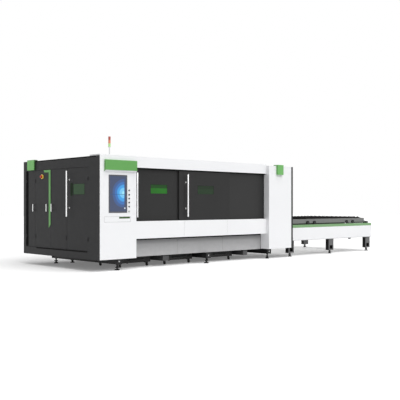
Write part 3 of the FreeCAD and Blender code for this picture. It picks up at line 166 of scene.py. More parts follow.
def buildGrainGroup():
    # rolled or ground metal: streaks drawn out along one axis, cloudy tone, fine scratches
    group, given, leave = newGroup("metalGrain", {
        "Stretch": (1, 1, 1), "Tone": (0.5, 0.5, 0.5), "Second Tone": (0.4, 0.4, 0.4), "Streak Scale": 60.0,
        "Gloss Low": 0.25, "Gloss High": 0.5})
    stretch = group.nodes.new("ShaderNodeVectorMath")
    stretch.operation = "MULTIPLY"
    fill(group, stretch, {0: given["Vector"], 1: given["Stretch"]})
    streak = noiseNode(group, stretch.outputs[0], given["Streak Scale"], 4.0, 0.6)
    cloud = noiseNode(group, given["Vector"], 3.0, 4.0, 0.6)
    blend = mathNode(group, "MULTIPLY", mathNode(group, "ADD", streak, cloud), 0.5)
    colour = mixColours(group, blend, given["Tone"], given["Second Tone"])
    return putOut(group, given, leave, colour, streak, streak)


def buildScorchGroup():
    # cut marks and slag: hard-edged blotches on a base tone, thicker towards the burnt upper edge
    group, given, leave = newGroup("scorch", {
        "Scale": 30.0, "Tone": (0.1, 0.1, 0.1), "Burnt Tone": (0.03, 0.03, 0.03), "Amount": 0.5,
        "Edge Bottom": 8.0, "Edge Top": 9.0, "Gloss Low": 0.4, "Gloss High": 0.75})
    blotch = noiseNode(group, given["Vector"], given["Scale"], 6.0, 0.7)
    height = splitNode(group, given["Vector"])["Z"]
    edge = rampNode(group, height, given["Edge Bottom"], given["Edge Top"], 0.0, 0.35)
    lifted = mathNode(group, "ADD", mathNode(group, "SUBTRACT", blotch, given["Amount"]), edge)
    mask = mathNode(group, "MULTIPLY", lifted, 7.0, True)
    colour = mixColours(group, mask, given["Tone"], given["Burnt Tone"])
    return putOut(group, given, leave, colour, blotch, blotch)


groups = {"powder": buildPowderGroup(), "grain": buildGrainGroup(), "scorch": buildScorchGroup()}


def newMaterial(name):  # the material, its tree and shader, and Object coordinates
    material = bpy.data.materials.new(name)
    material.use_nodes = True
    tree = material.node_tree
    place = tree.nodes.new("ShaderNodeTexCoord")
    return material, tree, tree.nodes["Principled BSDF"], place.outputs["Object"]


def placeGroup(tree, kind, vector, values):  # what one of the groups puts out, with a material's own values
    node = tree.nodes.new("ShaderNodeGroup")
    node.node_tree = groups[kind]
    fill(tree, node, {"Vector": vector, **values})
    return node.outputs


def finishFrom(name, kind, values, metallic=0.0, strength=0.3, depth=0.0003, specular=0.5):
    # material that takes its colour and roughness from one of the groups, and a fine relief from its height
    material, tree, shader, vector = newMaterial(name)
    group = placeGroup(tree, kind, vector, values)
    bump = tree.nodes.new("ShaderNodeBump")
    fill(tree, bump, {"Strength": strength, "Distance": depth, "Height": group["Height"]})
    fill(tree, shader, {"Base Color": group["Colour"], "Roughness": group["Roughness"], "Metallic": metallic,
                        "Specular IOR Level": specular, "Normal": bump.outputs["Normal"]})
    return material


finishes = {}
paints = {  # tone, second tone, specular level, other values
    "whitePaint": ((0.885, 0.89, 0.905), (0.865, 0.87, 0.885), 0.35, {"Dust And Bounce Share": 0.04}),
    # painted light: the left end's dark paint is lighter than the doors' to stand for the light on faces that
    # look left
    "leftDarkPaint": ((0.036, 0.036, 0.0375), (0.033, 0.033, 0.034), 0.12, {"Dust And Bounce Share": 0.03}),
    "doorDarkPaint": ((0.024, 0.024, 0.024), (0.020, 0.020, 0.020), 0.2, {"Dust And Bounce Share": 0.0}),
    "fixedDarkPaint": ((0.029, 0.029, 0.029), (0.025, 0.025, 0.025), 0.2, {"Dust And Bounce Share": 0.0}),
    "greenPaint": ((0.125, 0.37, 0.095), (0.115, 0.34, 0.085), 0.4, {}),
    "blockPaint": ((0.165, 0.46, 0.13), (0.15, 0.42, 0.12), 0.4, {}),
    # lit and shaded copies of the block paint: painted light on the left block's left face, painted shade on
    # the sides turned from the light
    "paintedLitBlockPaint": ((0.24, 0.62, 0.19), (0.225, 0.59, 0.18), 0.3, {}),
    "paintedShadeBlockPaint": ((0.03, 0.085, 0.022), (0.026, 0.075, 0.02), 0.4, {}),
    "railPaint": ((0.20, 0.38, 0.175), (0.18, 0.345, 0.155), 0.4, {}),
    # skirt: the dust values paint floor-bounce light that lightens its lower part, and the last three values
    # paint the shade under the ledge along its top
    "skirtPaint": ((0.37, 0.37, 0.375), (0.355, 0.355, 0.36), 0.3,
                   {"Dust And Bounce Tone": (0.62, 0.62, 0.625), "Dust And Bounce Top": 0.56, "Dust And Bounce Share": 0.5,
                    "Painted Shade Low": 0.45, "Painted Shade Top": 0.55, "Painted Shade Share": 0.6}),
    "framePaint": ((0.135, 0.135, 0.137), (0.115, 0.115, 0.117), 0.25, {"Dust And Bounce Share": 0.05}),
    "blackPaint": ((0.009, 0.009, 0.0095), (0.014, 0.014, 0.0145), 0.25, {"Dust And Bounce Share": 0.015}),
    "beamPaint": ((0.058, 0.058, 0.06), (0.05, 0.05, 0.052), 0.4, {"Dust And Bounce Share": 0.03}),
    "motorPaint": ((0.05, 0.06, 0.075), (0.04, 0.05, 0.06), 0.4, {}),
    "sourcePaint": ((0.5, 0.51, 0.52), (0.46, 0.47, 0.48), 0.4, {}),
}
for name, (tone, second, specular, others) in paints.items():
    values = {"Tone": tone, "Second Tone": second, **others}
    finishes[name] = finishFrom(name, "powder", values, specular=specular)

metals = {  # tone, second tone, stretch, other values
    "groundSteel": ((0.62, 0.63, 0.64), (0.5, 0.5, 0.51), (0.2, 1, 1), {}),
    "castAluminium": ((0.68, 0.69, 0.70), (0.58, 0.59, 0.6), (1, 0.3, 1), {}),
    "zincPlate": ((0.7, 0.71, 0.72), (0.6, 0.6, 0.58), (1, 1, 1), {}),
    "blackSteel": ((0.03, 0.03, 0.03), (0.055, 0.055, 0.057), (1, 1, 0.5), {}),
    "brightSteel": ((0.97, 0.97, 0.975), (0.955, 0.955, 0.96), (1, 1, 0.1),
                    {"Gloss Low": 0.22, "Gloss High": 0.34}),
    "copper": ((0.72, 0.36, 0.22), (0.6, 0.28, 0.16), (1, 1, 4), {}),
}
for name, (tone, second, stretch, others) in metals.items():
    values = {"Tone": tone, "Second Tone": second, "Stretch": stretch, **others}
    pure = 1.0 if name == "brightSteel" else 0.9
    finishes[name] = finishFrom(name, "grain", values, metallic=pure, depth=0.0001)

plastics = {  # as for the paints
    "blackRubber": ((0.012, 0.012, 0.012), (0.02, 0.02, 0.02), 0.3, {"Gloss Low": 0.6, "Gloss High": 0.8}),
    "bezelPlastic": ((0.075, 0.08, 0.1), (0.068, 0.072, 0.09), 0.5, {"Peel Scale": 900.0}),
    "slotPlastic": ((0.075, 0.15, 0.05), (0.05, 0.1, 0.035), 0.3, {"Peel Scale": 900.0}),
    # painted shade of the reveal beside the service door's window
    "revealShadeGlass": ((0.008, 0.024, 0.007), (0.007, 0.02, 0.006), 0.08, {"Peel Scale": 900.0}),
    # black for the seal down the column, and painted shade on the other strips it covers
    "sealBlack": ((0.003, 0.003, 0.003), (0.005, 0.005, 0.005), 0.04, {"Gloss Low": 0.7, "Gloss High": 0.85}),
    # grey that paints the shade of the drawer's gap and of the table panels' bottom edges
    "shadeLineGrey": ((0.5, 0.5, 0.51), (0.45, 0.45, 0.46), 0.5, {"Gloss Low": 0.5, "Gloss High": 0.7}),
    "keyPlastic": ((0.02, 0.02, 0.021), (0.028, 0.028, 0.03), 0.5, {"Peel Scale": 1200.0}),
    "yellowPlastic": ((1.0, 0.78, 0.12), (1.0, 0.72, 0.1), 0.5, {}),
    "redPlastic": ((0.55, 0.02, 0.015), (0.48, 0.015, 0.012), 0.5, {"Gloss Low": 0.2, "Gloss High": 0.3}),
    "paleButton": ((0.5, 0.55, 0.5), (0.45, 0.5, 0.45), 0.5, {"Gloss Low": 0.2, "Gloss High": 0.3}),
    "switchPlastic": ((0.55, 0.56, 0.55), (0.48, 0.49, 0.48), 0.5, {"Peel Scale": 800.0}),
}
for name, (tone, second, specular, others) in plastics.items():
    values = {"Tone": tone, "Second Tone": second, **others}
    finishes[name] = finishFrom(name, "powder", values, strength=0.2, depth=0.0001, specular=specular)


def scorched(name, tone, burnt, node, scale, amount, metallic, edgeShare):
    # scorch that thickens over the top share of the node's height
    low, high = corners(node)
    bottom = float(high[2] - edgeShare * (high[2] - low[2]))
    values = {"Tone": tone, "Burnt Tone": burnt, "Scale": scale, "Amount": amount,
              "Edge Bottom": bottom, "Edge Top": float(high[2])}
    finishes[name] = finishFrom(name, "scorch", values, metallic=metallic, depth=0.0006)


for level in ("upper", "lower"):
    scorched(level + "Slat", (0.038, 0.036, 0.038), (0.02, 0.018, 0.018), level + "_pallet_slats",
             scale=26.0, amount=0.5, metallic=0.3, edgeShare=0.4)
    scorched(level + "Pallet", (0.19, 0.19, 0.193), (0.11, 0.105, 0.102), level + "_pallet_frame",
             scale=14.0, amount=0.62, metallic=0.0, edgeShare=0.12)


def lensFinish(name, tone, glow):  # coloured lens with a soft inner glow
    material, tree, shader, vector = newMaterial(name)
    group = placeGroup(tree, "powder", vector, {"Tone": tone, "Second Tone": tuple(c * 0.8 for c in tone),
                                                "Gloss Low": 0.08, "Gloss High": 0.16})
    fill(tree, shader, {"Base Color": group["Colour"], "Emission Color": group["Colour"],
                        "Roughness": group["Roughness"], "Emission Strength": glow, "Coat Weight": 0.4})
    return material


lensTones = {"redLens": (0.42, 0.07, 0.05), "amberLens": (0.7, 0.24, 0.12), "greenLens": (0.42, 0.72, 0.26)}
for name, tone in lensTones.items():
    finishes[name] = lensFinish(name, tone, 0.2)


def windowFinish(name, values):
    # laser-safe pane with painted light: a dark strip at the top, a lighter band below that stands for the
    # lit chamber seen through it, and a faint glow in the pane's own colour
    material, tree, shader, vector = newMaterial(name)
    height = splitNode(tree, vector)["Z"]
    band = rampNode(tree, height, values["bandTop"], values["bandTop"] - values["blur"])
    haze = noiseNode(tree, vector, 2.4, 3.0)
    light = mathNode(tree, "MULTIPLY", band, mathNode(tree, "ADD", haze, 0.5), True)
    colour = mixColours(tree, light, values["dark"], values["lit"])
    roughness = rampNode(tree, noiseNode(tree, vector, 14.0, 4.0), 0.3, 0.7, 0.08, 0.2)
    fill(tree, shader, {"Base Color": colour, "Emission Color": colour, "Emission Strength": values["glow"],
                        "Specular IOR Level": 0.15, "Roughness": roughness})
    return material


sill, head = (float(corner[2]) for corner in corners("left_door_window"))
windows = {
    "brightWindow": {"dark": (0.015, 0.06, 0.014), "lit": (0.022, 0.145, 0.018), "bandTop": sill + 0.13,
                     "blur": 0.012, "glow": 0.15},
    "darkWindow": {"dark": (0.018, 0.032, 0.018), "lit": (0.02, 0.04, 0.02), "bandTop": sill + 0.13,
                   "blur": 0.012, "glow": 0.1},
    "sideWindow": {"dark": (0.027, 0.07, 0.028), "lit": (0.03, 0.078, 0.031), "bandTop": head,
                   "blur": 0.02, "glow": 0.1},
}
for name, values in windows.items():
    finishes[name] = windowFinish(name, values)


screenValues = {"night": (0.065, 0.085, 0.16), "blue": (0.045, 0.17, 0.52), "sky": (0.07, 0.45, 0.95),
                "core": (0.38, 0.86, 1.0), "centre": (0.84, 0.52), "reach": 0.5, "edge": 0.88,
                "ripples": 75.0, "line": 0.487, "lineTone": (0.02, 0.09, 0.25), "mark": (0.92, 0.09),
                "markTone": (0.75, 0.85, 0.95), "level": 0.9}


def distanceFrom(tree, across, up, place, shape):
    # distance on the glass from a place given in shares of its width and height; shape is width over height
    dx = mathNode(tree, "MULTIPLY", mathNode(tree, "SUBTRACT", across, place[0]), shape)
    dz = mathNode(tree, "SUBTRACT", up, place[1])
    squares = [mathNode(tree, "MULTIPLY", d, d) for d in (dx, dz)]
    return mathNode(tree, "SQRT", mathNode(tree, "ADD", *squares))


def screenFinish():
    # plain desktop: rings of light that fade out from one side of the glass, a status line and one round mark
    v = screenValues
    material, tree, shader, vector = newMaterial("screenGlass")
    low, high = corners("monitor_screen")
    shape = float((high[0] - low[0]) / (high[2] - low[2]))
    parts = splitNode(tree, vector)
    across = rampNode(tree, parts["X"], float(low[0]), float(high[0]))
    up = rampNode(tree, parts["Z"], float(low[2]), float(high[2]))
    drift = mathNode(tree, "MULTIPLY", noiseNode(tree, vector, 3.0, 2.0), 0.12)
    distance = mathNode(tree, "ADD", distanceFrom(tree, across, up, v["centre"], shape), drift)
    glow = mathNode(tree, "MULTIPLY", rampNode(tree, distance, v["reach"], 0.05),
                    rampNode(tree, across, v["edge"] + 0.03, v["edge"]))
    ripple = mathNode(tree, "SINE", mathNode(tree, "MULTIPLY", distance, v["ripples"]))
    glow = mathNode(tree, "ADD", glow, mathNode(tree, "MULTIPLY", ripple, 0.05), True)
    colour = v["night"]
    for start, end, tone in ((0.05, 0.4, v["blue"]), (0.35, 0.62, v["sky"]), (0.6, 0.92, v["core"])):
        colour = mixColours(tree, rampNode(tree, glow, start, end), colour, tone)
    offLine = mathNode(tree, "ABSOLUTE", mathNode(tree, "SUBTRACT", up, v["line"]))
    colour = mixColours(tree, rampNode(tree, offLine, 0.008, 0.004), colour, v["lineTone"])
    mark = distanceFrom(tree, across, up, v["mark"], shape)
    colour = mixColours(tree, rampNode(tree, mark, 0.026, 0.02), colour, v["markTone"])
    glass = mixColours(tree, glow, (0.01, 0.012, 0.016), (0.012, 0.02, 0.03))
    haze = rampNode(tree, noiseNode(tree, vector, 20.0, 3.0), 0.3, 0.7, 0.06, 0.14)
    fill(tree, shader, {"Emission Color": colour, "Emission Strength": v["level"], "Base Color": glass,
                        "Roughness": haze, "Specular IOR Level": 0.3})
    return material


finishes["screenGlass"] = screenFinish()
print("stage: finishes made,", len(finishes))


# Mesh helpers. A shape is a pair: an array of points and an array of quads.

def gridFaces(rows, columns, closeRows=False, closeColumns=False):
    # quads between the neighbours of a grid of points, closed round either way if asked
    i = np.arange(rows if closeRows else rows - 1)
    j = np.arange(columns if closeColumns else columns - 1)
    a, b = np.meshgrid(i, j, indexing="ij")
    c, d = (a + 1) % rows, (b + 1) % columns
    return np.stack([a * columns + b, c * columns + b, c * columns + d, a * columns + d], -1).reshape(-1, 4)


def acrossAxis(axis):  # the axis as a unit vector, and two more square to it and to each other
    axis = np.array(axis, float) / np.linalg.norm(axis)
    helper = np.array((0, 0, 1.0)) if abs(axis[2]) < 0.9 else np.array((1.0, 0, 0))
    first = np.cross(helper, axis)
    first /= np.linalg.norm(first)
    return axis, first, np.cross(axis, first)


def turned(profile, origin, axis, segments=24, ribs=0, ribDepth=0.0):
    # each (radius, height) of the profile goes once round the axis, and ribs wave the radius by a cosine
    axis, first, second = acrossAxis(axis)
    profile = np.array(profile, float)
    turn = np.linspace(0, 2 * np.pi, segments, endpoint=False)
    ring = np.cos(turn)[:, None] * first + np.sin(turn)[:, None] * second
    wave = 1.0 - ribDepth * (1.0 + np.cos(ribs * turn)) / 2.0
    radius = profile[:, 0, None] * wave[None, :]
    points = np.array(origin) + profile[:, 1, None, None] * axis + radius[:, :, None] * ring
    return points.reshape(-1, 3), gridFaces(len(profile), segments, closeColumns=True)


def blocks(lows, highs):  # a box for each pair of corners
    lows, highs = np.array(lows, float).reshape(-1, 3), np.array(highs, float).reshape(-1, 3)
    pick = np.array([[0, 0, 0], [1, 0, 0], [1, 1, 0], [0, 1, 0], [0, 0, 1], [1, 0, 1], [1, 1, 1], [0, 1, 1]])
    points = lows[:, None, :] + pick * (highs - lows)[:, None, :]
    quads = np.array([[0, 3, 2, 1], [4, 5, 6, 7], [0, 1, 5, 4], [1, 2, 6, 5], [2, 3, 7, 6], [3, 0, 4, 7]])
    faces = quads + 8 * np.arange(len(lows))[:, None, None]
    return points.reshape(-1, 3), faces.reshape(-1, 4)


def box(low, high):  # one box, its corners from home
    return blocks([at(*low)], [at(*high)])


def copies(shape, places):  # the same shape at many places
    points, faces = shape
    places = np.array(places, float).reshape(-1, 3)
    many = points[None] + places[:, None, :]
    indices = faces[None] + len(points) * np.arange(len(places))[:, None, None]
    return many.reshape(-1, 3), indices.reshape(-1, faces.shape[1])


def together(*shapes):  # several shapes as one
    points, faces, offset = [], [], 0
    for p, f in shapes:
        points.append(p)
        faces.append(f + offset)
        offset += len(p)
    return np.concatenate(points), np.concatenate(faces)


def roundedLoop(low, high, radius, steps=5):
    # outline of a rectangle with round corners, and the outward direction at each of its points
    centres = np.array([(high[0] - radius, high[1] - radius), (low[0] + radius, high[1] - radius),
                        (low[0] + radius, low[1] + radius), (high[0] - radius, low[1] + radius)])
    turn = np.linspace(0, np.pi / 2, steps + 1)[None, :] + np.arange(4)[:, None] * np.pi / 2
    outward = np.stack([np.cos(turn), np.sin(turn)], -1)
    return (centres[:, None, :] + radius * outward).reshape(-1, 2), outward.reshape(-1, 2)


def bead(low, high, radius, thickness, lift, axis, level, segments=8):
    # round cord carried along a rounded rectangle that lies at one level of the given axis
    flat, outward = roundedLoop(low, high, radius)
    turn = np.linspace(0, 2 * np.pi, segments, endpoint=False)
    inPlane = flat[:, None, :] + thickness * np.cos(turn)[None, :, None] * outward[:, None, :]
    off = np.broadcast_to(level + lift * np.sin(turn)[None, :], inPlane.shape[:2])
    columns = [inPlane[..., 0], inPlane[..., 1]]
    columns.insert(axis, off)
    return np.stack(columns, -1).reshape(-1, 3), gridFaces(len(flat), segments, True, True)


sharpAngle = math.radians(35)


def setEdge(item, width, byWeight=False):  # small radius on the edges, over an angle or by their weight
    edge = item.modifiers.new("edge", "BEVEL")
    edge.width = width
    edge.segments = 2
    edge.limit_method = "WEIGHT" if byWeight else "ANGLE"
    edge.angle_limit = sharpAngle
    edge.harden_normals = True


def finished(item, likeNode, finishNames, replaced=()):  # linked, with its finishes, on the body of a node like it
    bpy.context.scene.collection.objects.link(item)
    for name in finishNames:
        item.data.materials.append(finishes[name])
    body, slotName = bodyOf[likeNode], slotOf[likeNode]
    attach(item, body)
    if replaced:
        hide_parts(*replaced)
    return item


def piece(name, shape, finish, likeNode, bevel=0.0, replaced=(), soft=32):
    # object from a shape, on the body of the node that it belongs to: poles merged, faces turned outwards,
    # soft where its faces meet at a small angle
    points, faces = shape
    mesh = bpy.data.meshes.new(name)
    mesh.from_pydata(points.tolist(), [], faces.tolist())
    work = bmesh.new()
    work.from_mesh(mesh)
    bmesh.ops.remove_doubles(work, verts=work.verts, dist=1e-6)
    bmesh.ops.recalc_face_normals(work, faces=work.faces)
    work.to_mesh(mesh)
    work.free()
    mesh.shade_smooth()
    mesh.set_sharp_from_angle(angle=math.radians(soft))
    item = bpy.data.objects.new(name, mesh)
    if bevel:
        setEdge(item, bevel)
    return finished(item, likeNode, [finish], replaced)


def triangles(node):  # a node's points and triangles as arrays
    data = frame["nodes"][node].data
    points = np.empty(len(data.vertices) * 3, np.float32)
    data.vertices.foreach_get("co", points)
    loops = np.empty(len(data.loops), np.int32)
    data.loops.foreach_get("vertex_index", loops)
    return points.reshape(-1, 3).astype(float), loops.reshape(-1, 3)


def camel(node):  # node name to piece name
    words = node.split("_")
    return words[0] + "".join(w.title() for w in words[1:])


def refined(node, finish, bevel=0.0, patches=(), keep=0.02, soft=32):
    # copy of a node, its corners welded and its flats merged; long sharp edges get a small radius, and a
    # patch gives its own finish to the faces whose middles lie between its two corners
    points, faces = triangles(node)
    middles = points[faces].mean(1)
    indices = np.zeros(len(faces), np.int32)
    for k, (_, low, high) in enumerate(patches):
        indices[np.all((middles > np.array(low)) & (middles < np.array(high)), 1)] = k + 1
    mesh = bpy.data.meshes.new(camel(node))
    mesh.from_pydata(points.tolist(), [], faces.tolist())
    mesh.polygons.foreach_set("material_index", indices)
    work = bmesh.new()
    work.from_mesh(mesh)
    bmesh.ops.remove_doubles(work, verts=work.verts, dist=1e-5)
    bmesh.ops.dissolve_limit(work, angle_limit=math.radians(0.5), verts=work.verts, edges=work.edges,
                             delimit={"MATERIAL"})
    if bevel:
        weight = work.edges.layers.float.new("bevel_weight_edge")
        for edge in work.edges:
            sharp = len(edge.link_faces) == 2 and edge.calc_face_angle(0.0) > sharpAngle
            edge[weight] = float(sharp and edge.calc_length() > keep)
    work.to_mesh(mesh)
    work.free()
    mesh.shade_smooth()
    mesh.set_sharp_from_angle(angle=math.radians(soft))
    item = bpy.data.objects.new(camel(node), mesh)
    if bevel:
        setEdge(item, bevel, byWeight=True)
    return finished(item, node, [finish] + [p[0] for p in patches], (node,))


def coat(node, finish):  # the node stays as it is and gets its finish
    item = frame["nodes"][node]
    item.data.materials.clear()
    item.data.materials.append(finishes[finish])


far = 20.0


def beyond(x=(-far, far), y=(-far, far), z=(-far, far)):  # corners of a patch, from home
    return at(x[0], y[0], z[0]), at(x[1], y[1], z[1])


# Nodes whose shape is right: welded copies with edge radii, or the node itself with its finish

white, bright = "whitePaint", "brightSteel"
hair = 0.0004  # half the thickness of a patch that picks the faces in one plane
skin = 0.0002  # a patch that leaves a plane out starts this far beyond it
stopLow, stopHigh = corners("emergency_stop")
collarHigh = stopHigh * (0, 1, 1) + (home[0] + doorFace - skin, 0.022, 0.022)
collar = ("yellowPlastic", stopLow + (-0.03, -0.022, -0.022), collarHigh)
smallGrip = (bright, *beyond(x=(-1, -0.0585), z=(1.05, 1.3)))
longGrip = (bright, *beyond(x=(-1, doorFace - skin), y=(0.9, 1.0)))

# Table legs: painted shade, black on the plate edges that face along the table and inside the drilled pockets
legValues = {"places": (5.585, 7.158, 8.793), "half": 0.1025, "rise": (0.08, 0.44), "pocketHalf": 0.0605,
             "pocketDepth": (0.1655, 0.2595), "pocketRise": (0.114, 0.206)}
legShadePatches = []
for place in legValues["places"]:
    for x in (place - legValues["half"], place + legValues["half"]):
        legShadePatches.append(("blackPaint", *beyond(x=(x - hair, x + hair), z=legValues["rise"])))
    pocket = (place - legValues["pocketHalf"], place + legValues["pocketHalf"])
    legShadePatches.append(("blackPaint", *beyond(pocket, legValues["pocketDepth"], legValues["pocketRise"])))

# Painted light and shade: the green trims and the left block are painted darker on the side that turns away
# from the light, and the left block's face that looks left is painted lighter
trimSide = float(corners("green_trim_strip")[0][1] - home[1])
blockSide = 2.199
shadedTrimPatch = ("paintedShadeBlockPaint", *beyond(y=(trimSide - hair, trimSide + hair), z=(0.9, 1.85)))
shadedBlockPatch = ("paintedShadeBlockPaint", *beyond(x=(-1, 0.0), y=(blockSide - hair, blockSide + hair)))

refinedNodes = {  # finish, edge radius, patches
    "control_cabinet": (white, 0.003),
    "right_column": (white, 0.003),
    "front_panels": (white, 0.0015),
    "roof_panel": (white, 0.001),
    "rear_panels": (white, 0.001, ("zincPlate", *beyond(y=(rearFace + 0.002, 3)))),
    "skirt_panels": ("skirtPaint", 0.001),
    "left_end_frame": ("leftDarkPaint", 0.002, ("blackSteel", *beyond(x=(-1, frameFace - skin)))),
    "right_end_frame": ("doorDarkPaint", 0.002),
    "fixed_front_panel": ("fixedDarkPaint", 0.0015),
    "left_sliding_door": ("doorDarkPaint", 0.0015),
    "right_sliding_door": ("doorDarkPaint", 0.0015),
    "service_door": ("leftDarkPaint", 0.0015, longGrip),
    "right_cabinet_door": ("leftDarkPaint", 0.0015, smallGrip),
    "left_cabinet_door": ("leftDarkPaint", 0.0015, smallGrip, collar),
    "narrow_door": ("leftDarkPaint", 0.0015, smallGrip),
    "chamber_partition": ("doorDarkPaint", 0.0),
    "cabinet_fascia": ("greenPaint", 0.004, (white, *beyond(z=(1, 1.8495)))),
    "corner_blocks": ("blockPaint", 0.002, ("paintedLitBlockPaint", *beyond(x=(-1, -0.0715))), shadedBlockPatch),
    "green_trim_strip": ("blockPaint", 0.0, shadedTrimPatch),
    "monitor_housing": ("bezelPlastic", 0.0015),
    "bed_frame": ("blackPaint", 0.0, ("beamPaint", *beyond(x=(1.69, 1.854), z=(0, 0.198))),
                  ("beamPaint", *beyond(x=(4.016, 4.156), z=(0, 0.198)))),
    "electrical_backplate": ("zincPlate", 0.0015, ("motorPaint", *beyond(x=(0.56, 0.7), y=(1.11, 2.15))),
                             ("switchPlastic", *beyond(x=(0.7, 0.7885), y=(1.13, 2.13)))),
    "laser_source": ("sourcePaint", 0.006, ("blackPaint", *beyond(x=(0.0, 0.1195)))),
    "table_frame": ("framePaint", 0.002, ("blackPaint", *beyond(x=(8.84, 9), z=(0.738, 0.9))),
                    ("motorPaint", *beyond(x=(8.7, 8.93), y=(0.73, 0.89))), *legShadePatches),
    "table_side_panels": (white, 0.0),
    "table_rails": ("railPaint", 0.0015, ("framePaint", *beyond(x=(8.94, 9)))),
    "upper_pallet_frame": ("upperPallet", 0.0012, ("blackSteel", *beyond(y=(0, 0.3085)))),
    "lower_pallet_frame": ("lowerPallet", 0.0012, ("blackSteel", *beyond(y=(0, 0.3085)))),
    "portal_beam": ("castAluminium", 0.002, ("groundSteel", *beyond(z=(0.9, 0.931)))),
    "cross_carriage": ("castAluminium", 0.0015),
    "cutting_head": ("castAluminium", 0.0, ("copper", *beyond(z=(1.0, 1.0785)))),
    "keyboard_drawer": (white, 0.001),
    # painted shade: the tracks are black to give the dark line along the foot of the doors
    "door_tracks": ("blackPaint", 0.0),
    "guide_rails": ("groundSteel", 0.001),
}
trayCasters = ("blackRubber", *beyond(z=(-1, 0.0835)))
for number in range(1, 4):
    refinedNodes["scrap_tray_%d" % number] = ("blackPaint", 0.0015, trayCasters)
for node, (finish, bevel, *patches) in refinedNodes.items():
    refined(node, finish, bevel, patches)

coatedNodes = {
    "monitor_screen": "screenGlass", "left_door_window": "brightWindow", "right_door_window": "darkWindow",
    "service_door_window": "sideWindow", "upper_pallet_slats": "upperSlat", "lower_pallet_slats": "lowerSlat",
    "signal_light_pole": "castAluminium", "emergency_stop": "redPlastic", "push_button_6": "paleButton",
}
for number in range(1, 6):
    coatedNodes["push_button_%d" % number] = "keyPlastic"
for node, finish in coatedNodes.items():
    coat(node, finish)
print("stage: carried-over nodes finished")


# Door handles: a domed tube on two posts, each post on a stepped rosette

handleValues = {"dome": 0.006, "postRadius": 0.009, "rosetteRadius": 0.017, "rosetteHeight": 0.004,
                "postInsets": (0.167, 0.157)}


def rosette(face, axis, radius, height):  # low stepped disc, turned from its outline
    profile = [(0, height), (radius * 0.55, height), (radius * 0.62, height * 0.7),
               (radius * 0.9, height * 0.7), (radius, height * 0.3), (radius, -0.0005), (0, -0.0005)]
    return turned(profile, face, axis, 20)


def slidingHandle(node, leaf):
    # tube with a quarter round at both ends, and its posts from the door's face to its middle
    v = handleValues
    low, high = corners(node)
    radius = (high[0] - low[0]) / 2
    centre = np.array(((low[0] + high[0]) / 2, low[1] + radius, 0.0))
    face = corners(leaf)[0][1]
    bow = np.linspace(0, np.pi / 2, 5)
    lower = np.stack([radius * np.sin(bow), low[2] + v["dome"] * (1 - np.cos(bow))], -1)
    upper = np.stack([radius * np.cos(bow), high[2] - v["dome"] * (1 - np.sin(bow))], -1)
    tube = turned(np.concatenate([lower, upper]), centre, (0, 0, 1), 28)
    piece(camel(node), tube, "brightSteel", node, replaced=(node,))
    posts = []
    for z in (low[2] + v["postInsets"][0], high[2] - v["postInsets"][1]):
        foot = (centre[0], face, z)
        rod = [(v["postRadius"], -0.0002), (v["postRadius"], face - centre[1])]
        posts.append(turned(rod, foot, (0, -1, 0), 20))
        posts.append(rosette(foot, (0, -1, 0), v["rosetteRadius"], v["rosetteHeight"]))
    piece(camel(node) + "Posts", together(*posts), "zincPlate", node)


slidingHandle("left_door_handle", "left_sliding_door")
slidingHandle("right_door_handle", "right_sliding_door")

# Rosettes under the posts of the end doors' handles: place along the door, post heights, radius, finish
endHandles = {
    "service_door": (0.950, (1.162, 1.692), 0.017, "zincPlate"),
    "right_cabinet_door": (1.545, (1.105, 1.218), 0.0095, "leftDarkPaint"),
    "left_cabinet_door": (1.729, (1.105, 1.218), 0.0095, "leftDarkPaint"),
    "narrow_door": (2.244, (1.105, 1.218), 0.0095, "leftDarkPaint"),
}
for node, (along, heights, radius, finish) in endHandles.items():
    feet = [rosette(at(doorFace, along, z), (-1, 0, 0), radius, 0.003) for z in heights]
    piece(camel(node) + "Rosettes", together(*feet), finish, node)


# Window gaskets: a rubber bead round each pane

gasketValues = {"lap": 0.015, "corner": 0.012, "thickness": 0.006, "lift": 0.003}


def gasket(node, face, axis):  # bead just inside the pane's edge, on the door's face square to the axis
    v = gasketValues
    low, high = corners(node)
    rest = [k for k in range(3) if k != axis]
    low, high = low[rest] + v["lap"], high[rest] - v["lap"]
    shape = bead(low, high, v["corner"], v["thickness"], v["lift"], axis, face)
    piece(camel(node) + "Gasket", shape, "blackRubber", node)


gasket("left_door_window", corners("left_sliding_door")[0][1], 1)
gasket("right_door_window", corners("right_sliding_door")[0][1], 1)
gasket("service_door_window", home[0] + doorFace, 0)


# Signal light: three ribbed lenses with a clear step between them

lensValues = {"foot": 0.93, "ring": 0.035, "dome": 0.008, "ribs": 24, "ribDepth": 0.03}


def ribbedLens(node, finish, domed):
    # outline of alternate rings, turned with ribs that run up it; the top one ends in a quarter round
    v = lensValues
    low, high = corners(node)
    radius = (high[0] - low[0]) / 2
    centre = ((low[0] + high[0]) / 2, (low[1] + high[1]) / 2, low[2])
    tall = high[2] - low[2]
    profile = [(0, 0), (radius * v["foot"], 0), (radius * v["foot"], 0.002)]
    steps = np.linspace(0.003, tall - (v["dome"] + 0.001 if domed else 0.002), 13)
    rings = radius * (1.0 - v["ring"] * (np.arange(13) % 2))
    profile += list(zip(rings, steps))
    if domed:
        bow = np.linspace(0, np.pi / 2, 5)
        profile += list(zip(radius - v["dome"] * (1 - np.cos(bow)), tall - v["dome"] * (1 - np.sin(bow))))
    profile += [(radius * 0.6, tall), (0, tall)]
    shape = turned(profile, centre, (0, 0, 1), 48, v["ribs"], v["ribDepth"])
    piece(camel(node), shape, finish, node, replaced=(node,), soft=60)


ribbedLens("green_lens", "greenLens", False)
ribbedLens("amber_lens", "amberLens", False)
ribbedLens("red_lens", "redLens", True)


# Levelling feet: rubber-soled pad, threaded stem and two lock nuts. One more foot stands under the left bay.

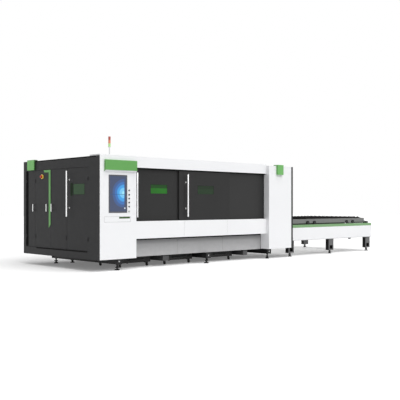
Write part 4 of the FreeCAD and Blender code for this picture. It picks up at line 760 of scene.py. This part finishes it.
footValues = {"pad": 0.048, "padHeight": 0.016, "cone": 0.014, "stem": 0.016, "pitch": 0.004,
              "threadDepth": 0.0016, "nut": 0.024, "nutHeight": 0.014, "lowNut": 0.036, "lowNutBottom": 0.042,
              "lowNutHeight": 0.022}
bracketValues = {"foot": (0.860, 2.230), "half": (0.058, 0.046), "plate": 0.110, "thickness": 0.012,
                 "web": 0.010, "webTop": 0.208, "beamTop": 0.2195, "beamReach": 0.17}


def solidBoxes(node):
    # corners of every separate solid of a node: welded points take the lowest label they can reach
    points, faces = triangles(node)
    perMetre = 2e4  # points closer than a step of this grid are one
    keys, inverse = np.unique(np.round(points * perMetre).astype(np.int64), axis=0, return_inverse=True)
    faces = inverse.reshape(-1)[faces]
    label = np.arange(len(keys))
    while True:
        lowest = label[faces].min(1)
        fresh = label.copy()
        np.minimum.at(fresh, faces.reshape(-1), np.repeat(lowest, 3))
        fresh = fresh[fresh]
        if np.array_equal(fresh, label):
            break
        label = fresh
    boxes = []
    for name in np.unique(label):
        own = keys[label == name] / perMetre
        boxes.append((own.min(0), own.max(0)))
    return boxes


def levelFoot(low, high):
    # pad, cone and stem as one turned outline, zigzag along the thread, and two six-sided nuts
    v = footValues
    x, y, top = (low[0] + high[0]) / 2, (low[1] + high[1]) / 2, high[2] - v["nutHeight"]
    pad, stem, neck = v["pad"], v["stem"], v["padHeight"] + v["cone"]
    threads = np.arange(neck, top, v["pitch"] / 2)
    radii = stem - v["threadDepth"] * (np.arange(len(threads)) % 2)
    profile = [(0, 0), (pad - 0.002, 0), (pad, 0.003), (pad, v["padHeight"] - 0.003),
               (pad - 0.003, v["padHeight"]), (stem + 0.004, neck - 0.002)]
    profile += list(zip(radii, threads)) + [(stem, top), (0, top)]
    wide, tall = v["nut"], v["nutHeight"]
    upper = [(0, 0), (wide * 0.88, 0), (wide, 0.002), (wide, tall - 0.002), (wide * 0.88, tall), (0, tall)]
    wide, tall = v["lowNut"], v["lowNutHeight"]
    lower = [(stem - 0.002, 0), (wide * 0.9, 0), (wide, 0.003), (wide, tall - 0.003), (wide * 0.9, tall),
             (stem - 0.002, tall)]
    return together(turned(profile, (x, y, 0.0), (0, 0, 1), 20), turned(upper, (x, y, top), (0, 0, 1), 6),
                    turned(lower, (x, y, v["lowNutBottom"]), (0, 0, 1), 6))


def footBracket():
    # over the extra foot: a plate with two upright webs, and a bar back to the bay's beam
    v = bracketValues
    (x, y), (halfX, halfY) = v["foot"], v["half"]
    left, right, front, back = x - halfX, x + halfX, y - halfY, y + halfY
    plateTop = v["plate"] + v["thickness"]
    lows = [at(left, front, v["plate"]), at(left, front, plateTop), at(right - v["web"], front, plateTop),
            at(left, front, v["webTop"])]
    highs = [at(right, back, plateTop), at(left + v["web"], back, v["webTop"]), at(right, back, v["webTop"]),
             at(right, back + v["beamReach"], v["beamTop"])]
    return blocks(lows, highs)


def levellingFeet():  # a foot in the place of each solid of the node, and the extra one under its bracket
    (x, y), pad = bracketValues["foot"], footValues["pad"]
    extra = (at(x - pad, y - pad, 0), at(x + pad, y + pad, bracketValues["plate"]))
    feet = [levelFoot(low, high) for low, high in solidBoxes("levelling_feet") + [extra]]
    piece("levellingFeet", together(*feet, footBracket()), "blackSteel", "levelling_feet",
          replaced=("levelling_feet",))


levellingFeet()


# Bushings in the drilled lifting plates, front and rear: a metal ring in a rubber one

bushValues = {"rings": {"liftBushings": (0.006, 0.0145, "castAluminium"),
                        "liftGrommets": (0.0145, 0.0198, "blackRubber")},
              "length": 0.014, "places": (0.517, 2.820, 4.738), "height": 0.1655,
              "plates": ((0.116, 1), (2.382, -1))}


def liftBushings():  # each ring is a square profile turned about its hole's axis, into the plate
    v = bushValues
    for name, (inner, outer, finish) in v["rings"].items():
        profile = [(inner, 0.001), (inner, -0.001), (outer, -0.001), (outer, v["length"]),
                   (inner, v["length"]), (inner, 0.001)]
        shapes = [turned(profile, at(x, y, v["height"]), (0, way, 0), 20)
                  for x in v["places"] for y, way in v["plates"]]
        piece(name, together(*shapes), finish, "bed_frame")


liftBushings()


# Casters of the scrap trays: forks with cheeks, a swivel plate and an axle bolt

casterValues = {"places": (1.188, 2.320, 3.524), "half": 0.334, "front": 0.552, "rear": 1.200,
                "cheek": 0.0165, "sheet": 0.003, "axle": 0.028, "cheekFront": 0.010, "reach": 0.020,
                "forkTop": 0.070, "forkSheet": 0.0045, "plate": (0.036, 0.030, 0.034, 0.0795, 0.0835)}


def casterForks():
    # each fork: two cheeks under a bridge, a turned swivel, a plate under the tray, a bolt end on each side
    v = casterValues
    outside = v["cheek"] + v["sheet"]
    plateHalf, plateFront, plateBack, plateLow, plateHigh = v["plate"]
    swivel = [(0, 0), (0.021, 0), (0.024, 0.003), (0.024, 0.0095), (0, 0.0095)]
    bolt = [(0, 0), (0.007, 0), (0.007, 0.004), (0.005, 0.005), (0, 0.005)]
    for number, centre in enumerate(v["places"], 1):
        lows, highs, shapes = [], [], []
        for x in (centre - v["half"], centre + v["half"]):
            for y in (v["front"], v["rear"]):
                for left in (x - outside, x + v["cheek"]):
                    lows.append(at(left, y - v["cheekFront"], v["axle"] - v["cheekFront"]))
                    highs.append(at(left + v["sheet"], y + v["reach"], v["forkTop"]))
                lows += [at(x - outside, y - 0.006, v["forkTop"] - v["forkSheet"]),
                         at(x - plateHalf, y - plateFront, plateLow)]
                highs += [at(x + outside, y + v["reach"] + 0.006, v["forkTop"]),
                          at(x + plateHalf, y + plateBack, plateHigh)]
                shapes.append(turned(swivel, at(x, y + 0.006, v["forkTop"]), (0, 0, 1), 18))
                for way in (-1, 1):
                    shapes.append(turned(bolt, at(x + way * outside, y, v["axle"]), (way, 0, 0), 6))
        node = "scrap_tray_%d" % number
        piece("casterForks%d" % number, together(blocks(lows, highs), *shapes), "blackRubber", node)


casterForks()
print("stage: handles, gaskets, lenses, feet and casters built")


# Thin strips, each given by two corners of its face. Most are painted shade: dark strips under the ledge over
# the skirt, on the left end face and the narrow door, beside the service door's window and over the doors,
# and grey ones along the table; the strip down the column is a seal

sealAndShadeValues = {"thickness": 0.0012, "skirt": ((0.835, 0.5390), (4.590, 0.5725)),
              "end": (((2.5365, 0.372), (2.566, 1.905)), ((0.060, 2.084), (2.195, 2.1035)),
                      ((0.345, 0.346), (2.150, 0.366))),
              "narrow": ((2.488, 0.380), (2.531, 1.895)), "window": (0.003, 0.073),
              "column": ((5.382, 0.228), (5.399, 2.103)), "table": ((5.445, 0.371), (8.940, 0.381)),
              "brush": ((0.830, 0.1045, 1.902), (4.598, 0.1105, 1.924))}


def frontStrip(low, high, face, thickness):  # strip before a face that looks to the front
    return box((low[0], face - thickness, low[1]), (high[0], face, high[1]))


def endStrip(low, high, face, thickness):  # strip before a face that looks to the left
    return box((face - thickness, *low), (face, *high))


def sealAndShadeStrips():  # a box of one thickness before the face of each part
    v = sealAndShadeValues
    thin = v["thickness"]
    # painted shade: a black strip under the ledge over the skirt
    piece("skirtSeal", frontStrip(*v["skirt"], skirtFace, thin), "sealBlack", "skirt_panels")
    # painted shade along the rear edge, the top and the bottom of the left end face
    ends = [endStrip(low, high, frameFace, thin) for low, high in v["end"]]
    piece("endTrims", together(*ends), "sealBlack", "left_end_frame")
    # painted shade down the narrow door's rear edge
    piece("narrowDoorTrim", endStrip(*v["narrow"], doorFace, thin), "sealBlack", "narrow_door")
    # painted shade of the reveal beside the service door's window
    low, high = corners("service_door_window") - home
    side = endStrip((high[1] + v["window"][0], low[2]), (high[1] + v["window"][1], high[2]), doorFace, thin)
    piece("windowTrim", side, "revealShadeGlass", "service_door_window")
    piece("columnTrim", frontStrip(*v["column"], 0.0, thin), "sealBlack", "right_column")
    # painted shade along the doors' tops under the header
    piece("doorTopShadeStrip", box(*v["brush"]), "sealBlack", "front_panels")
    # painted shade along the bottom edge of the table's side panels, front and rear
    front = frontStrip(*v["table"], tableFaces[0], thin)
    rear = frontStrip(*v["table"], tableFaces[1] + thin, thin)
    piece("tableLips", together(front, rear), "shadeLineGrey", "table_side_panels")


sealAndShadeStrips()


# Push buttons: a dark ring round each collar

ringValues = {"inner": 0.0128, "outer": 0.0168, "height": 0.0015, "sunk": 0.004, "face": 0.003}


def buttonRings():  # a low ring turned about each button's axis, sunk into the monitor's face
    v = ringValues
    inner, outer, height, sunk = v["inner"], v["outer"], v["height"], v["sunk"]
    profile = [(inner, 0.001), (inner, -height), (outer - 0.001, -height), (outer, 0.0), (outer, sunk),
               (inner, sunk), (inner, 0.001)]
    rings = []
    for number in range(1, 7):
        low, high = corners("push_button_%d" % number)
        centre = ((low[0] + high[0]) / 2, home[1] + v["face"], (low[2] + high[2]) / 2)
        rings.append(turned(profile, centre, (0, 1, 0), 28))
    piece("buttonRings", together(*rings), "bezelPlastic", "monitor_housing")


buttonRings()


# Drawer: a pale cord round its front that paints the shade of its gap, and a dark green lining in the finger
# slot

drawerValues = {"seal": 0.0035, "gap": 0.002, "corner": 0.004, "lift": 0.0015,
                "lining": ((0.429, 0.0085, 0.9645), (0.682, 0.0115, 0.9980))}


def drawerTrim():  # the painted gap shade is a cord round the front's outline, the lining a thin block behind the slot
    v = drawerValues
    low, high = corners("keyboard_drawer")
    face = home[1] + 0.0002
    seal = bead(low[[0, 2]] - v["gap"], high[[0, 2]] + v["gap"], v["corner"], v["seal"], v["lift"], 1, face)
    piece("drawerSeal", seal, "shadeLineGrey", "control_cabinet")
    piece("slotLining", box(*v["lining"]), "slotPlastic", "keyboard_drawer", bevel=0.0005)


drawerTrim()


# Keyboard: a tray with five rows of tapered caps

keyValues = {"rows": 5, "columns": 15, "margin": 0.009, "gap": 0.003, "base": 0.012, "taper": 0.002}


def keyboard():  # boxes in rows and columns, drawn in at the top by the taper, on one plate
    v = keyValues
    low, high = corners("keyboard")
    step = (high - low)[:2] - 2 * v["margin"]
    pitchX, pitchY = step[0] / v["columns"], step[1] / v["rows"]
    i, j = np.meshgrid(np.arange(v["columns"]), np.arange(v["rows"]), indexing="ij")
    start = np.stack([low[0] + v["margin"] + i.ravel() * pitchX + v["gap"] / 2,
                      low[1] + v["margin"] + j.ravel() * pitchY + v["gap"] / 2,
                      np.full(i.size, low[2] + v["base"])], -1)
    size = np.array((pitchX - v["gap"], pitchY - v["gap"], high[2] - low[2] - v["base"]))
    points, faces = blocks(start, start + size)
    caps = points.reshape(-1, 8, 3)
    middle = caps.mean(1, keepdims=True)
    caps[:, 4:, :2] -= np.sign(caps[:, 4:, :2] - middle[:, :, :2]) * v["taper"]
    plate = blocks([low], [(high[0], high[1], low[2] + v["base"])])
    piece("keyboard", together(plate, (points, faces)), "keyPlastic", "keyboard", bevel=0.0006,
          replaced=("keyboard",))


keyboard()


# Drive chains: side plates and rollers laid along the loop round the sprocket and the idler

chainValues = {"pitch": 0.0254, "plate": 0.0066, "thickness": 0.0016, "nose": 0.004, "roller": 0.0052,
               "width": 0.012, "inset": 0.007, "place": 0.325, "idler": 0.0535, "idlerPin": 0.020}


def alongLoop(distance, start, end, level, radius):
    # point and direction on a loop of two straight runs and two half circles, by the distance travelled
    run, arc = end - start, np.pi * radius
    d = np.mod(distance, 2 * run + 2 * arc)
    onTop, onFirstArc, onReturn = d < run, d < run + arc, d < 2 * run + arc
    turn = np.select([onTop, onFirstArc, onReturn], [0.0, (d - run) / radius, np.pi],
                     np.pi + (d - 2 * run - arc) / radius)
    ahead = np.select([onTop, onFirstArc, onReturn], [d, run, 2 * run + arc - d], 0.0)
    points = np.stack([start + ahead + radius * np.sin(turn), level + radius * np.cos(turn)], -1)
    return points, np.stack([np.cos(turn), -np.sin(turn)], -1)


def linkPlates(middle, way, half, fronts):
    # an eight-sided plate along the loop at each middle, from its front to one thickness behind it
    v = chainValues
    side = np.stack([-way[:, 1], way[:, 0]], -1)
    nose = half + v["nose"]
    corner = np.array([(-nose, -0.6), (-half, -1), (half, -1), (nose, -0.6), (nose, 0.6), (half, 1),
                       (-half, 1), (-nose, 0.6)]) * (1, v["plate"])
    flat = middle[:, None] + corner[None, :, :1] * way[:, None] + corner[None, :, 1:] * side[:, None]
    layers = []
    for level in (fronts, fronts + v["thickness"]):
        depth = np.broadcast_to(level[:, None, None], flat[..., :1].shape)
        layers.append(np.concatenate([flat[..., :1], depth, flat[..., 1:]], -1))
    cap = np.array([[0, 1, 2, 7], [2, 3, 6, 7], [3, 4, 5, 6]])
    rim = np.array([[k, (k + 1) % 8, (k + 1) % 8 + 8, k + 8] for k in range(8)])
    quads = np.concatenate([cap[:, ::-1], cap + 8, rim])
    faces = quads[None] + 16 * np.arange(len(middle))[:, None, None]
    return np.concatenate(layers, 1).reshape(-1, 3), faces.reshape(-1, 4)


def idlerWheel(centre, pinEnd):
    # disc with a hub and a rim, and the pin that carries it from the table's inside
    wheel, pin = chainValues["idler"], chainValues["idlerPin"]
    hub, web, rim = wheel * 0.4, (wheel * 0.45, wheel * 0.8), wheel * 0.86
    disc = [(0, 0.001), (hub, 0.001), (web[0], 0.004), (web[1], 0.004), (rim, 0.002), (wheel, 0.002),
            (wheel, 0.010), (rim, 0.010), (web[1], 0.008), (web[0], 0.008), (hub, 0.011), (0, 0.011)]
    stub = [(0, pinEnd), (pin, pinEnd), (pin, 0.008), (0.008, 0.012), (0, 0.012)]
    return together(turned(disc, centre, (0, 1, 0), 40), turned(stub, centre, (0, 1, 0), 20))


def chainLinks(node):
    # links at equal steps round the loop, every second one set inwards; the far chain mirrors the near one
    v = chainValues
    low, high = corners(node)
    level, outer = (low[2] + high[2]) / 2, (high[2] - low[2]) / 2
    radius = outer - v["inset"]
    start, end = low[0] + outer, high[0] - outer
    length = 2 * (end - start) + 2 * np.pi * radius
    count = int(round(length / v["pitch"] / 2)) * 2
    middle, way = alongLoop((np.arange(count) + 0.5) * length / count, start, end, level, radius)
    near = home[1] + v["place"]
    inwards = (np.arange(count) % 2) * v["thickness"]
    shapes = [linkPlates(middle, way, length / count / 2, fronts)
              for fronts in (near + inwards, near + v["width"] - v["thickness"] - inwards)]
    joints = alongLoop(np.arange(count) * length / count, start, end, level, radius)[0]
    rod = [(v["roller"], v["thickness"]), (v["roller"], v["width"] - v["thickness"])]
    roller = turned(rod, (0, 0, 0), (0, 1, 0), 6)
    shapes.append(copies(roller, np.stack([joints[:, 0], np.full(count, near), joints[:, 1]], -1)))
    shapes.append(idlerWheel((start, near, level), low[1] - near))
    points, faces = together(*shapes)
    mirror = points * (1, -1, 1) + (0, low[1] + high[1], 0)
    piece("driveChains", together((points, faces), (mirror, faces[:, ::-1])), "blackSteel", node,
          replaced=(node,))


chainLinks("drive_chains")


# Pallet guards: rubber strips under the side tubes that keep slag off the rails

guardValues = {"bottom": 0.0025, "top": 0.0287, "thickness": 0.004, "tubeInset": 0.036, "end": 0.004,
               "spans": ((0.0, 0.685), (1.055, 2.32), (2.69, 3.2))}


def palletGuards(level):
    # thin strips between the wheels, from the underside of the tube almost to the rail
    v = guardValues
    low, high = corners(level + "_pallet_frame")
    lows, highs = [], []
    for start, end in v["spans"]:
        for y in (low[1] + v["tubeInset"], high[1] - v["tubeInset"] - v["thickness"]):
            lows.append((low[0] + start + v["end"], y, low[2] + v["bottom"]))
            highs.append((low[0] + end - v["end"], y + v["thickness"], low[2] + v["top"]))
    piece(level + "Guards", blocks(lows, highs), "blackRubber", level + "_pallet_frame", bevel=0.0008)


palletGuards("upper")
palletGuards("lower")


# Drive shaft: toothed sprockets with hubs on a turned shaft

shaftValues = {"radius": 0.020, "sprocket": 0.0535, "teeth": 26, "toothDepth": 0.08, "width": 0.012,
               "hub": 0.034, "hubLength": 0.020}


def driveShaft(node):
    # shaft, sprockets and hubs turned about one axis; the teeth are waves of the sprocket's radius
    v = shaftValues
    low, high = corners(node)
    axisPoint = np.array(((low[0] + high[0]) / 2, 0.0, (low[2] + high[2]) / 2))
    radius, sprocket, hub, width = v["radius"], v["sprocket"], v["hub"], v["width"]
    bore = radius * 0.9
    shaft = [(0, low[1]), (radius - 0.001, low[1]), (radius, low[1] + 0.001), (radius, high[1] - 0.001),
             (radius - 0.001, high[1]), (0, high[1])]
    shapes = [turned(shaft, axisPoint, (0, 1, 0), 32)]
    near = home[1] + chainValues["place"]
    for y, inward in ((near, 1), (low[1] + high[1] - near - width, -1)):
        wheel = [(bore, y), (sprocket * 0.93, y), (sprocket, y + 0.003), (sprocket, y + width - 0.003),
                 (sprocket * 0.93, y + width), (bore, y + width)]
        shapes.append(turned(wheel, axisPoint, (0, 1, 0), v["teeth"] * 6, v["teeth"], v["toothDepth"]))
        start = y + width if inward > 0 else y
        end = start + inward * v["hubLength"]
        boss = [(bore, start), (hub, start), (hub, end - inward * 0.002), (hub - 0.002, end), (bore, end)]
        shapes.append(turned(boss, axisPoint, (0, 1, 0), 32))
    piece("driveShaft", together(*shapes), "blackSteel", node, replaced=(node,))


driveShaft("drive_shaft")
print("stage: buttons, keyboard, chains and shaft built")


# Sheet-metal details: louvre hoods, roof straps and screws

hoodValues = {"length": 0.400, "rise": 0.016, "depth": 0.009, "sheet": 0.16, "rows": 8, "pitch": 0.030,
              "first": 0.349}
rearPanels = 4
rearLow, rearHigh = corners("rear_panels")
panelWidth = (rearHigh[0] - rearLow[0]) / rearPanels


def louvreHoods():
    # quarter-round hood over each slot: an arc from the panel outwards and down, drawn along X to closed ends
    v = hoodValues
    bow = np.linspace(0, np.pi / 2, 6)
    arc = np.stack([v["depth"] * np.sin(bow), v["rise"] * np.cos(bow)], -1)
    arc = np.concatenate([arc, arc[::-1] * (1 - v["sheet"])])
    half = v["length"] / 2
    xs = np.array((-half - 0.01, -half - 0.006, half + 0.006, half + 0.01))
    pull = np.array((0.0, 1.0, 1.0, 0.0))[:, None]
    across = np.broadcast_to(xs[:, None], (4, len(arc)))
    outwards = home[1] + rearFace + arc[None, :, 0] * pull
    upwards = arc[None, :, 1] * np.broadcast_to(0.2 + 0.8 * pull, (4, len(arc)))
    points = np.stack([across, outwards, upwards], -1)
    hood = (points.reshape(-1, 3), gridFaces(4, len(arc), closeColumns=True))
    middles = rearLow[0] + panelWidth * (np.arange(rearPanels) + 0.5)
    x, z = np.meshgrid(middles, v["first"] + v["pitch"] * np.arange(v["rows"]), indexing="ij")
    places = np.stack([x.ravel(), np.zeros(x.size), z.ravel()], -1)
    piece("louvreHoods", copies(hood, places), "whitePaint", "rear_panels")


louvreHoods()


def screwRow(places, axis, radius=0.0055):
    # button-head screw: a low dome with a hollow in its middle
    profile = [(0, 0.0012), (radius * 0.4, 0.0012), (radius * 0.46, 0.0032), (radius * 0.75, 0.0028),
               (radius, 0.0012), (radius, -0.0005)]
    return copies(turned(profile, (0, 0, 0), axis, 10), places)


def line(start, end, count):  # equally spaced points between two ends
    share = np.linspace(0, 1, count)[:, None]
    return np.array(start)[None] * (1 - share) + np.array(end)[None] * share


def atPanelEdges(inset):  # X of a place near each side edge of every rear panel
    starts = rearLow[0] + panelWidth * np.arange(rearPanels)
    return [start + side for start in starts for side in (inset, panelWidth - inset)]


strapValues = {"places": (1.35, 2.70, 4.05), "width": 0.05, "height": 0.003, "ends": (0.34, 2.64)}
screwValues = {"strap": (0.40, 2.58, 8), "rear": (0.28, 2.05, 6), "rearInset": 0.03,
               "table": (5.52, 8.86, 8), "tableHeight": 0.650}  # first place, last place, count


def strapsAndScrews():  # straps across the roof's joints, and rows of screws on straps, rear and table
    v, (front, rear) = strapValues, strapValues["ends"]
    half, top = v["width"] / 2, roofTop + v["height"]
    straps = blocks([at(x - half, front, roofTop) for x in v["places"]],
                    [at(x + half, rear, top) for x in v["places"]])
    piece("roofStraps", straps, "whitePaint", "roof_panel", bevel=0.001)
    first, last, count = screwValues["strap"]
    screws = [screwRow(line(at(x, first, top), at(x, last, top), count), (0, 0, 1)) for x in v["places"]]
    first, last, count = screwValues["rear"]
    face = home[1] + rearFace
    for x in atPanelEdges(screwValues["rearInset"]):
        screws.append(screwRow(line((x, face, first), (x, face, last), count), (0, 1, 0)))
    (first, last, count), z = screwValues["table"], screwValues["tableHeight"]
    for y, way in zip(tableFaces, (-1, 1)):
        screws.append(screwRow(line(at(first, y, z), at(last, y, z), count), (0, way, 0)))
    piece("panelScrews", together(*screws), "zincPlate", "rear_panels")


strapsAndScrews()


# Electrical bay: slotted wire ducts between the rows, wires and plug strips on the switchgear

bayValues = {"plate": 0.785, "ends": (1.110, 2.150), "rise": (0.780, 1.860), "rows": 3, "columns": 5,
             "partGap": 0.042, "rowGap": 0.130, "depths": (0.070, 0.095, 0.120)}
ductValues = {"reach": 0.060, "height": 0.060, "cover": 0.007, "tooth": 0.008, "pitch": 0.0125, "end": 0.004,
              "lip": 0.002}
plugValues = {"height": 0.012, "depth": 0.006, "side": 0.018, "edge": 0.012}
wireValues = {"count": 4, "radius": 0.0028, "side": 0.030, "back": 0.030, "length": 0.037}


def bayRows():  # bottom of each row, and of the bay's top edge
    return np.linspace(*bayValues["rise"], bayValues["rows"] + 1)


def wireDucts():
    # a cover held off the plate by a comb of teeth, under each row and over the last one
    v, face, (y0, y1) = ductValues, bayValues["plate"], bayValues["ends"]
    half, lip = v["height"] / 2, v["lip"]
    bottom, top = bayValues["rise"]
    outer, inner = face - v["reach"], face - v["reach"] + v["cover"]
    lows, highs = [], []
    for z in np.clip(bayRows(), bottom + half + lip, top - half - lip):
        lows.append(at(outer, y0 + v["end"], z - half))
        highs.append(at(inner, y1 - v["end"], z + half))
        for y in np.arange(y0 + v["end"] + lip, y1 - 0.014, v["pitch"]):
            lows.append(at(inner, y, z - half + lip))
            highs.append(at(face, y + v["tooth"], z + half - lip))
    piece("wireDucts", blocks(lows, highs), "switchPlastic", "electrical_backplate")


def switchgearTrim():
    # plug strips near the top and bottom of every part's front, and wires from its top up into the duct
    bay, plug, wire, face = bayValues, plugValues, wireValues, bayValues["plate"]
    columns = np.linspace(*bay["ends"], bay["columns"] + 1)
    rows = bayRows()
    lows, highs, wires = [], [], []
    run = [(wire["radius"], -0.001), (wire["radius"], wire["length"])]
    for r in range(bay["rows"]):
        bottom, top = rows[r] + bay["rowGap"] / 2, rows[r + 1] - bay["rowGap"] / 2
        for c in range(bay["columns"]):
            front = face - bay["depths"][(r + c) % 3]
            low, high = columns[c] + bay["partGap"] / 2, columns[c + 1] - bay["partGap"] / 2
            for z in (bottom + plug["edge"], top - plug["edge"] - plug["height"]):
                lows.append(at(front - plug["depth"], low + plug["side"], z))
                highs.append(at(front, high - plug["side"], z + plug["height"]))
            for y in np.linspace(low + wire["side"], high - wire["side"], wire["count"]):
                wires.append(turned(run, at(face - wire["back"], y, top), (0, 0, 1), 8))
    piece("plugStrips", blocks(lows, highs), "greenPaint", "electrical_backplate")
    piece("bayWires", together(*wires), "blackRubber", "electrical_backplate")


wireDucts()
switchgearTrim()


# Rear face: gland plate with four cable glands, and a quarter-turn lock near each panel edge

glandValues = {"plate": ((0.110, 0.300), (0.430, 0.420)), "thickness": 0.004, "corner": 0.012, "screw": 0.004,
               "glands": ((0.16, 0.016), (0.23, 0.020), (0.31, 0.020), (0.38, 0.016)), "length": 0.034}
lockValues = {"inset": 0.055, "heights": (0.62, 1.72)}


def rearFittings():
    # plate with a screw near each corner, locks and glands turned about Y, on the rear panels' face
    v = glandValues
    (x0, z0), (x1, z1) = v["plate"]
    outer = rearFace + v["thickness"]
    shapes = [box((x0, rearFace, z0), (x1, outer, z1))]
    places = [at(x, outer, z) for x in (x0 + v["corner"], x1 - v["corner"])
              for z in (z0 + v["corner"], z1 - v["corner"])]
    shapes.append(screwRow(places, (0, 1, 0), v["screw"]))
    lock = [(0, 0.004), (0.004, 0.004), (0.005, 0.0055), (0.010, 0.005), (0.0125, 0.002), (0.0125, -0.0005)]
    places = [(x, home[1] + rearFace, z) for x in atPanelEdges(lockValues["inset"])
              for z in lockValues["heights"]]
    shapes += [turned(lock, place, (0, 1, 0), 16) for place in places]
    piece("rearFittings", together(*shapes), "zincPlate", "rear_panels")
    glands = []
    for x, r in v["glands"]:
        seat, end = v["thickness"] - 0.0005, v["length"]
        body = [(0, seat), (r * 1.15, seat), (r * 1.15, 0.010), (r, 0.012), (r, 0.022),
                (r * 0.82, end - 0.002), (r * 0.62, end), (0, end)]
        glands.append(turned(body, at(x, rearFace, (z0 + z1) / 2), (0, 1, 0), 12))
    piece("cableGlands", together(*glands), "blackRubber", "rear_panels")


rearFittings()


# Exhaust spigot: a bolted flange round its foot and two rolled beads near its end

spigotValues = {"centre": (2.025, 1.100), "pipe": 0.1495, "bead": 0.004, "beads": (0.012, 0.030),
                "flange": 0.180, "sheet": 0.0025, "boltCircle": 0.165, "bolts": 8}


def spigotTrim():
    # both are turned about the pipe's axis; each bead is a half circle on the pipe
    v = spigotValues
    centre = at(v["centre"][0], 0, v["centre"][1])
    pipe, foot = v["pipe"], rearFace + 0.0002
    bow = np.linspace(0, np.pi, 7)
    beads = []
    for inset in v["beads"]:
        y = rearHigh[1] - home[1] - inset
        beads += list(zip(pipe + v["bead"] * np.sin(bow), y - v["bead"] * np.cos(bow)))
    face = foot + v["sheet"]
    flange = [(pipe, foot), (v["flange"], foot), (v["flange"], face), (pipe, face + 0.0015)]
    shapes = [turned(flange, centre, (0, 1, 0), 48), turned(beads[::-1], centre, (0, 1, 0), 48)]
    turn = np.arange(v["bolts"]) * 2 * np.pi / v["bolts"]
    around = v["boltCircle"]
    bolts = np.stack([around * np.cos(turn), np.full(len(turn), face), around * np.sin(turn)], -1)
    shapes.append(screwRow(bolts + centre, (0, 1, 0)))
    piece("exhaustFlange", together(*shapes), "zincPlate", "rear_panels")


spigotTrim()
print("stage: hoods, straps, screws, bay and rear fittings built")


# Stage, light and camera

studio = {"floorTone": 0.78, "floorSeen": 1.0, "floorLift": 0.17, "floorHalf": 60.0, "worldLevel": 0.38,
          "keyStrength": 2.36, "keyTurn": (38, 0, 4), "keySoft": 64.0}


def seenDirectly(tree):  # 1 for rays from the camera, in gloss or through glass, 0 for the rest
    path = tree.nodes.new("ShaderNodeLightPath")
    seen = mathNode(tree, "MAXIMUM", path.outputs["Is Camera Ray"], path.outputs["Is Glossy Ray"])
    return mathNode(tree, "MAXIMUM", seen, path.outputs["Is Transmission Ray"])


def buildStage():
    # white floor: seen directly it is lifted a little, and the light it sends back comes from a duller tone
    material, tree, shader, vector = newMaterial("paleFloor")
    seen = seenDirectly(tree)
    cloud = noiseNode(tree, vector, 0.6, 2.0)
    plain = mixColours(tree, cloud, (studio["floorTone"],) * 3, (studio["floorTone"] * 0.98,) * 3)
    fill(tree, shader, {"Base Color": mixColours(tree, seen, plain, (studio["floorSeen"],) * 3),
                        "Roughness": 0.95, "Specular IOR Level": 0.0, "Emission Color": (1, 1, 1),
                        "Emission Strength": mathNode(tree, "MULTIPLY", seen, studio["floorLift"])})
    mesh = bpy.data.meshes.new("floor")
    size = studio["floorHalf"]
    rim = [(-size, -size, 0), (size, -size, 0), (size, size, 0), (-size, size, 0)]
    mesh.from_pydata(rim, [], [(0, 1, 2, 3)])
    floor = bpy.data.objects.new("floor", mesh)
    bpy.context.scene.collection.objects.link(floor)
    mesh.materials.append(material)


def buildWorld():  # white all round: full where it is seen directly, and at the world's level as a light
    world = bpy.data.worlds.new("studio")
    bpy.context.scene.world = world
    world.use_nodes = True
    tree = world.node_tree
    lift = mathNode(tree, "MULTIPLY", seenDirectly(tree), 1.0 - studio["worldLevel"])
    strength = mathNode(tree, "ADD", lift, studio["worldLevel"])
    fill(tree, tree.nodes["Background"], {"Color": (1, 1, 1), "Strength": strength})


def addSun(name, strength, turn, soft):  # light from far off; its disc is as wide as the soft angle
    lamp = bpy.data.lights.new(name, "SUN")
    lamp.energy = strength
    lamp.angle = math.radians(soft)
    item = bpy.data.objects.new(name, lamp)
    bpy.context.scene.collection.objects.link(item)
    item.rotation_euler = [math.radians(t) for t in turn]


cameraValues = {"place": (-11.567, -11.6045, 1.2), "turn": -43.2, "lens": 62.01, "sensor": 36.0,
                "shift": 0.0145, "farEnd": 200}


def addCamera():  # level, turned about the vertical, with the photo's lens
    v = cameraValues
    lens = bpy.data.cameras.new("camera")
    lens.lens = v["lens"]
    lens.sensor_width = v["sensor"]
    lens.shift_y = v["shift"]
    lens.clip_end = v["farEnd"]
    camera = bpy.data.objects.new("camera", lens)
    bpy.context.scene.collection.objects.link(camera)
    camera.location = v["place"]
    camera.rotation_euler = (math.radians(90), 0, math.radians(v["turn"]))
    bpy.context.scene.camera = camera


buildStage()
buildWorld()
addSun("keyLamp", studio["keyStrength"], studio["keyTurn"], studio["keySoft"])
addCamera()
bpy.context.scene.view_settings.view_transform = "Standard"
print("stage: light and camera set")
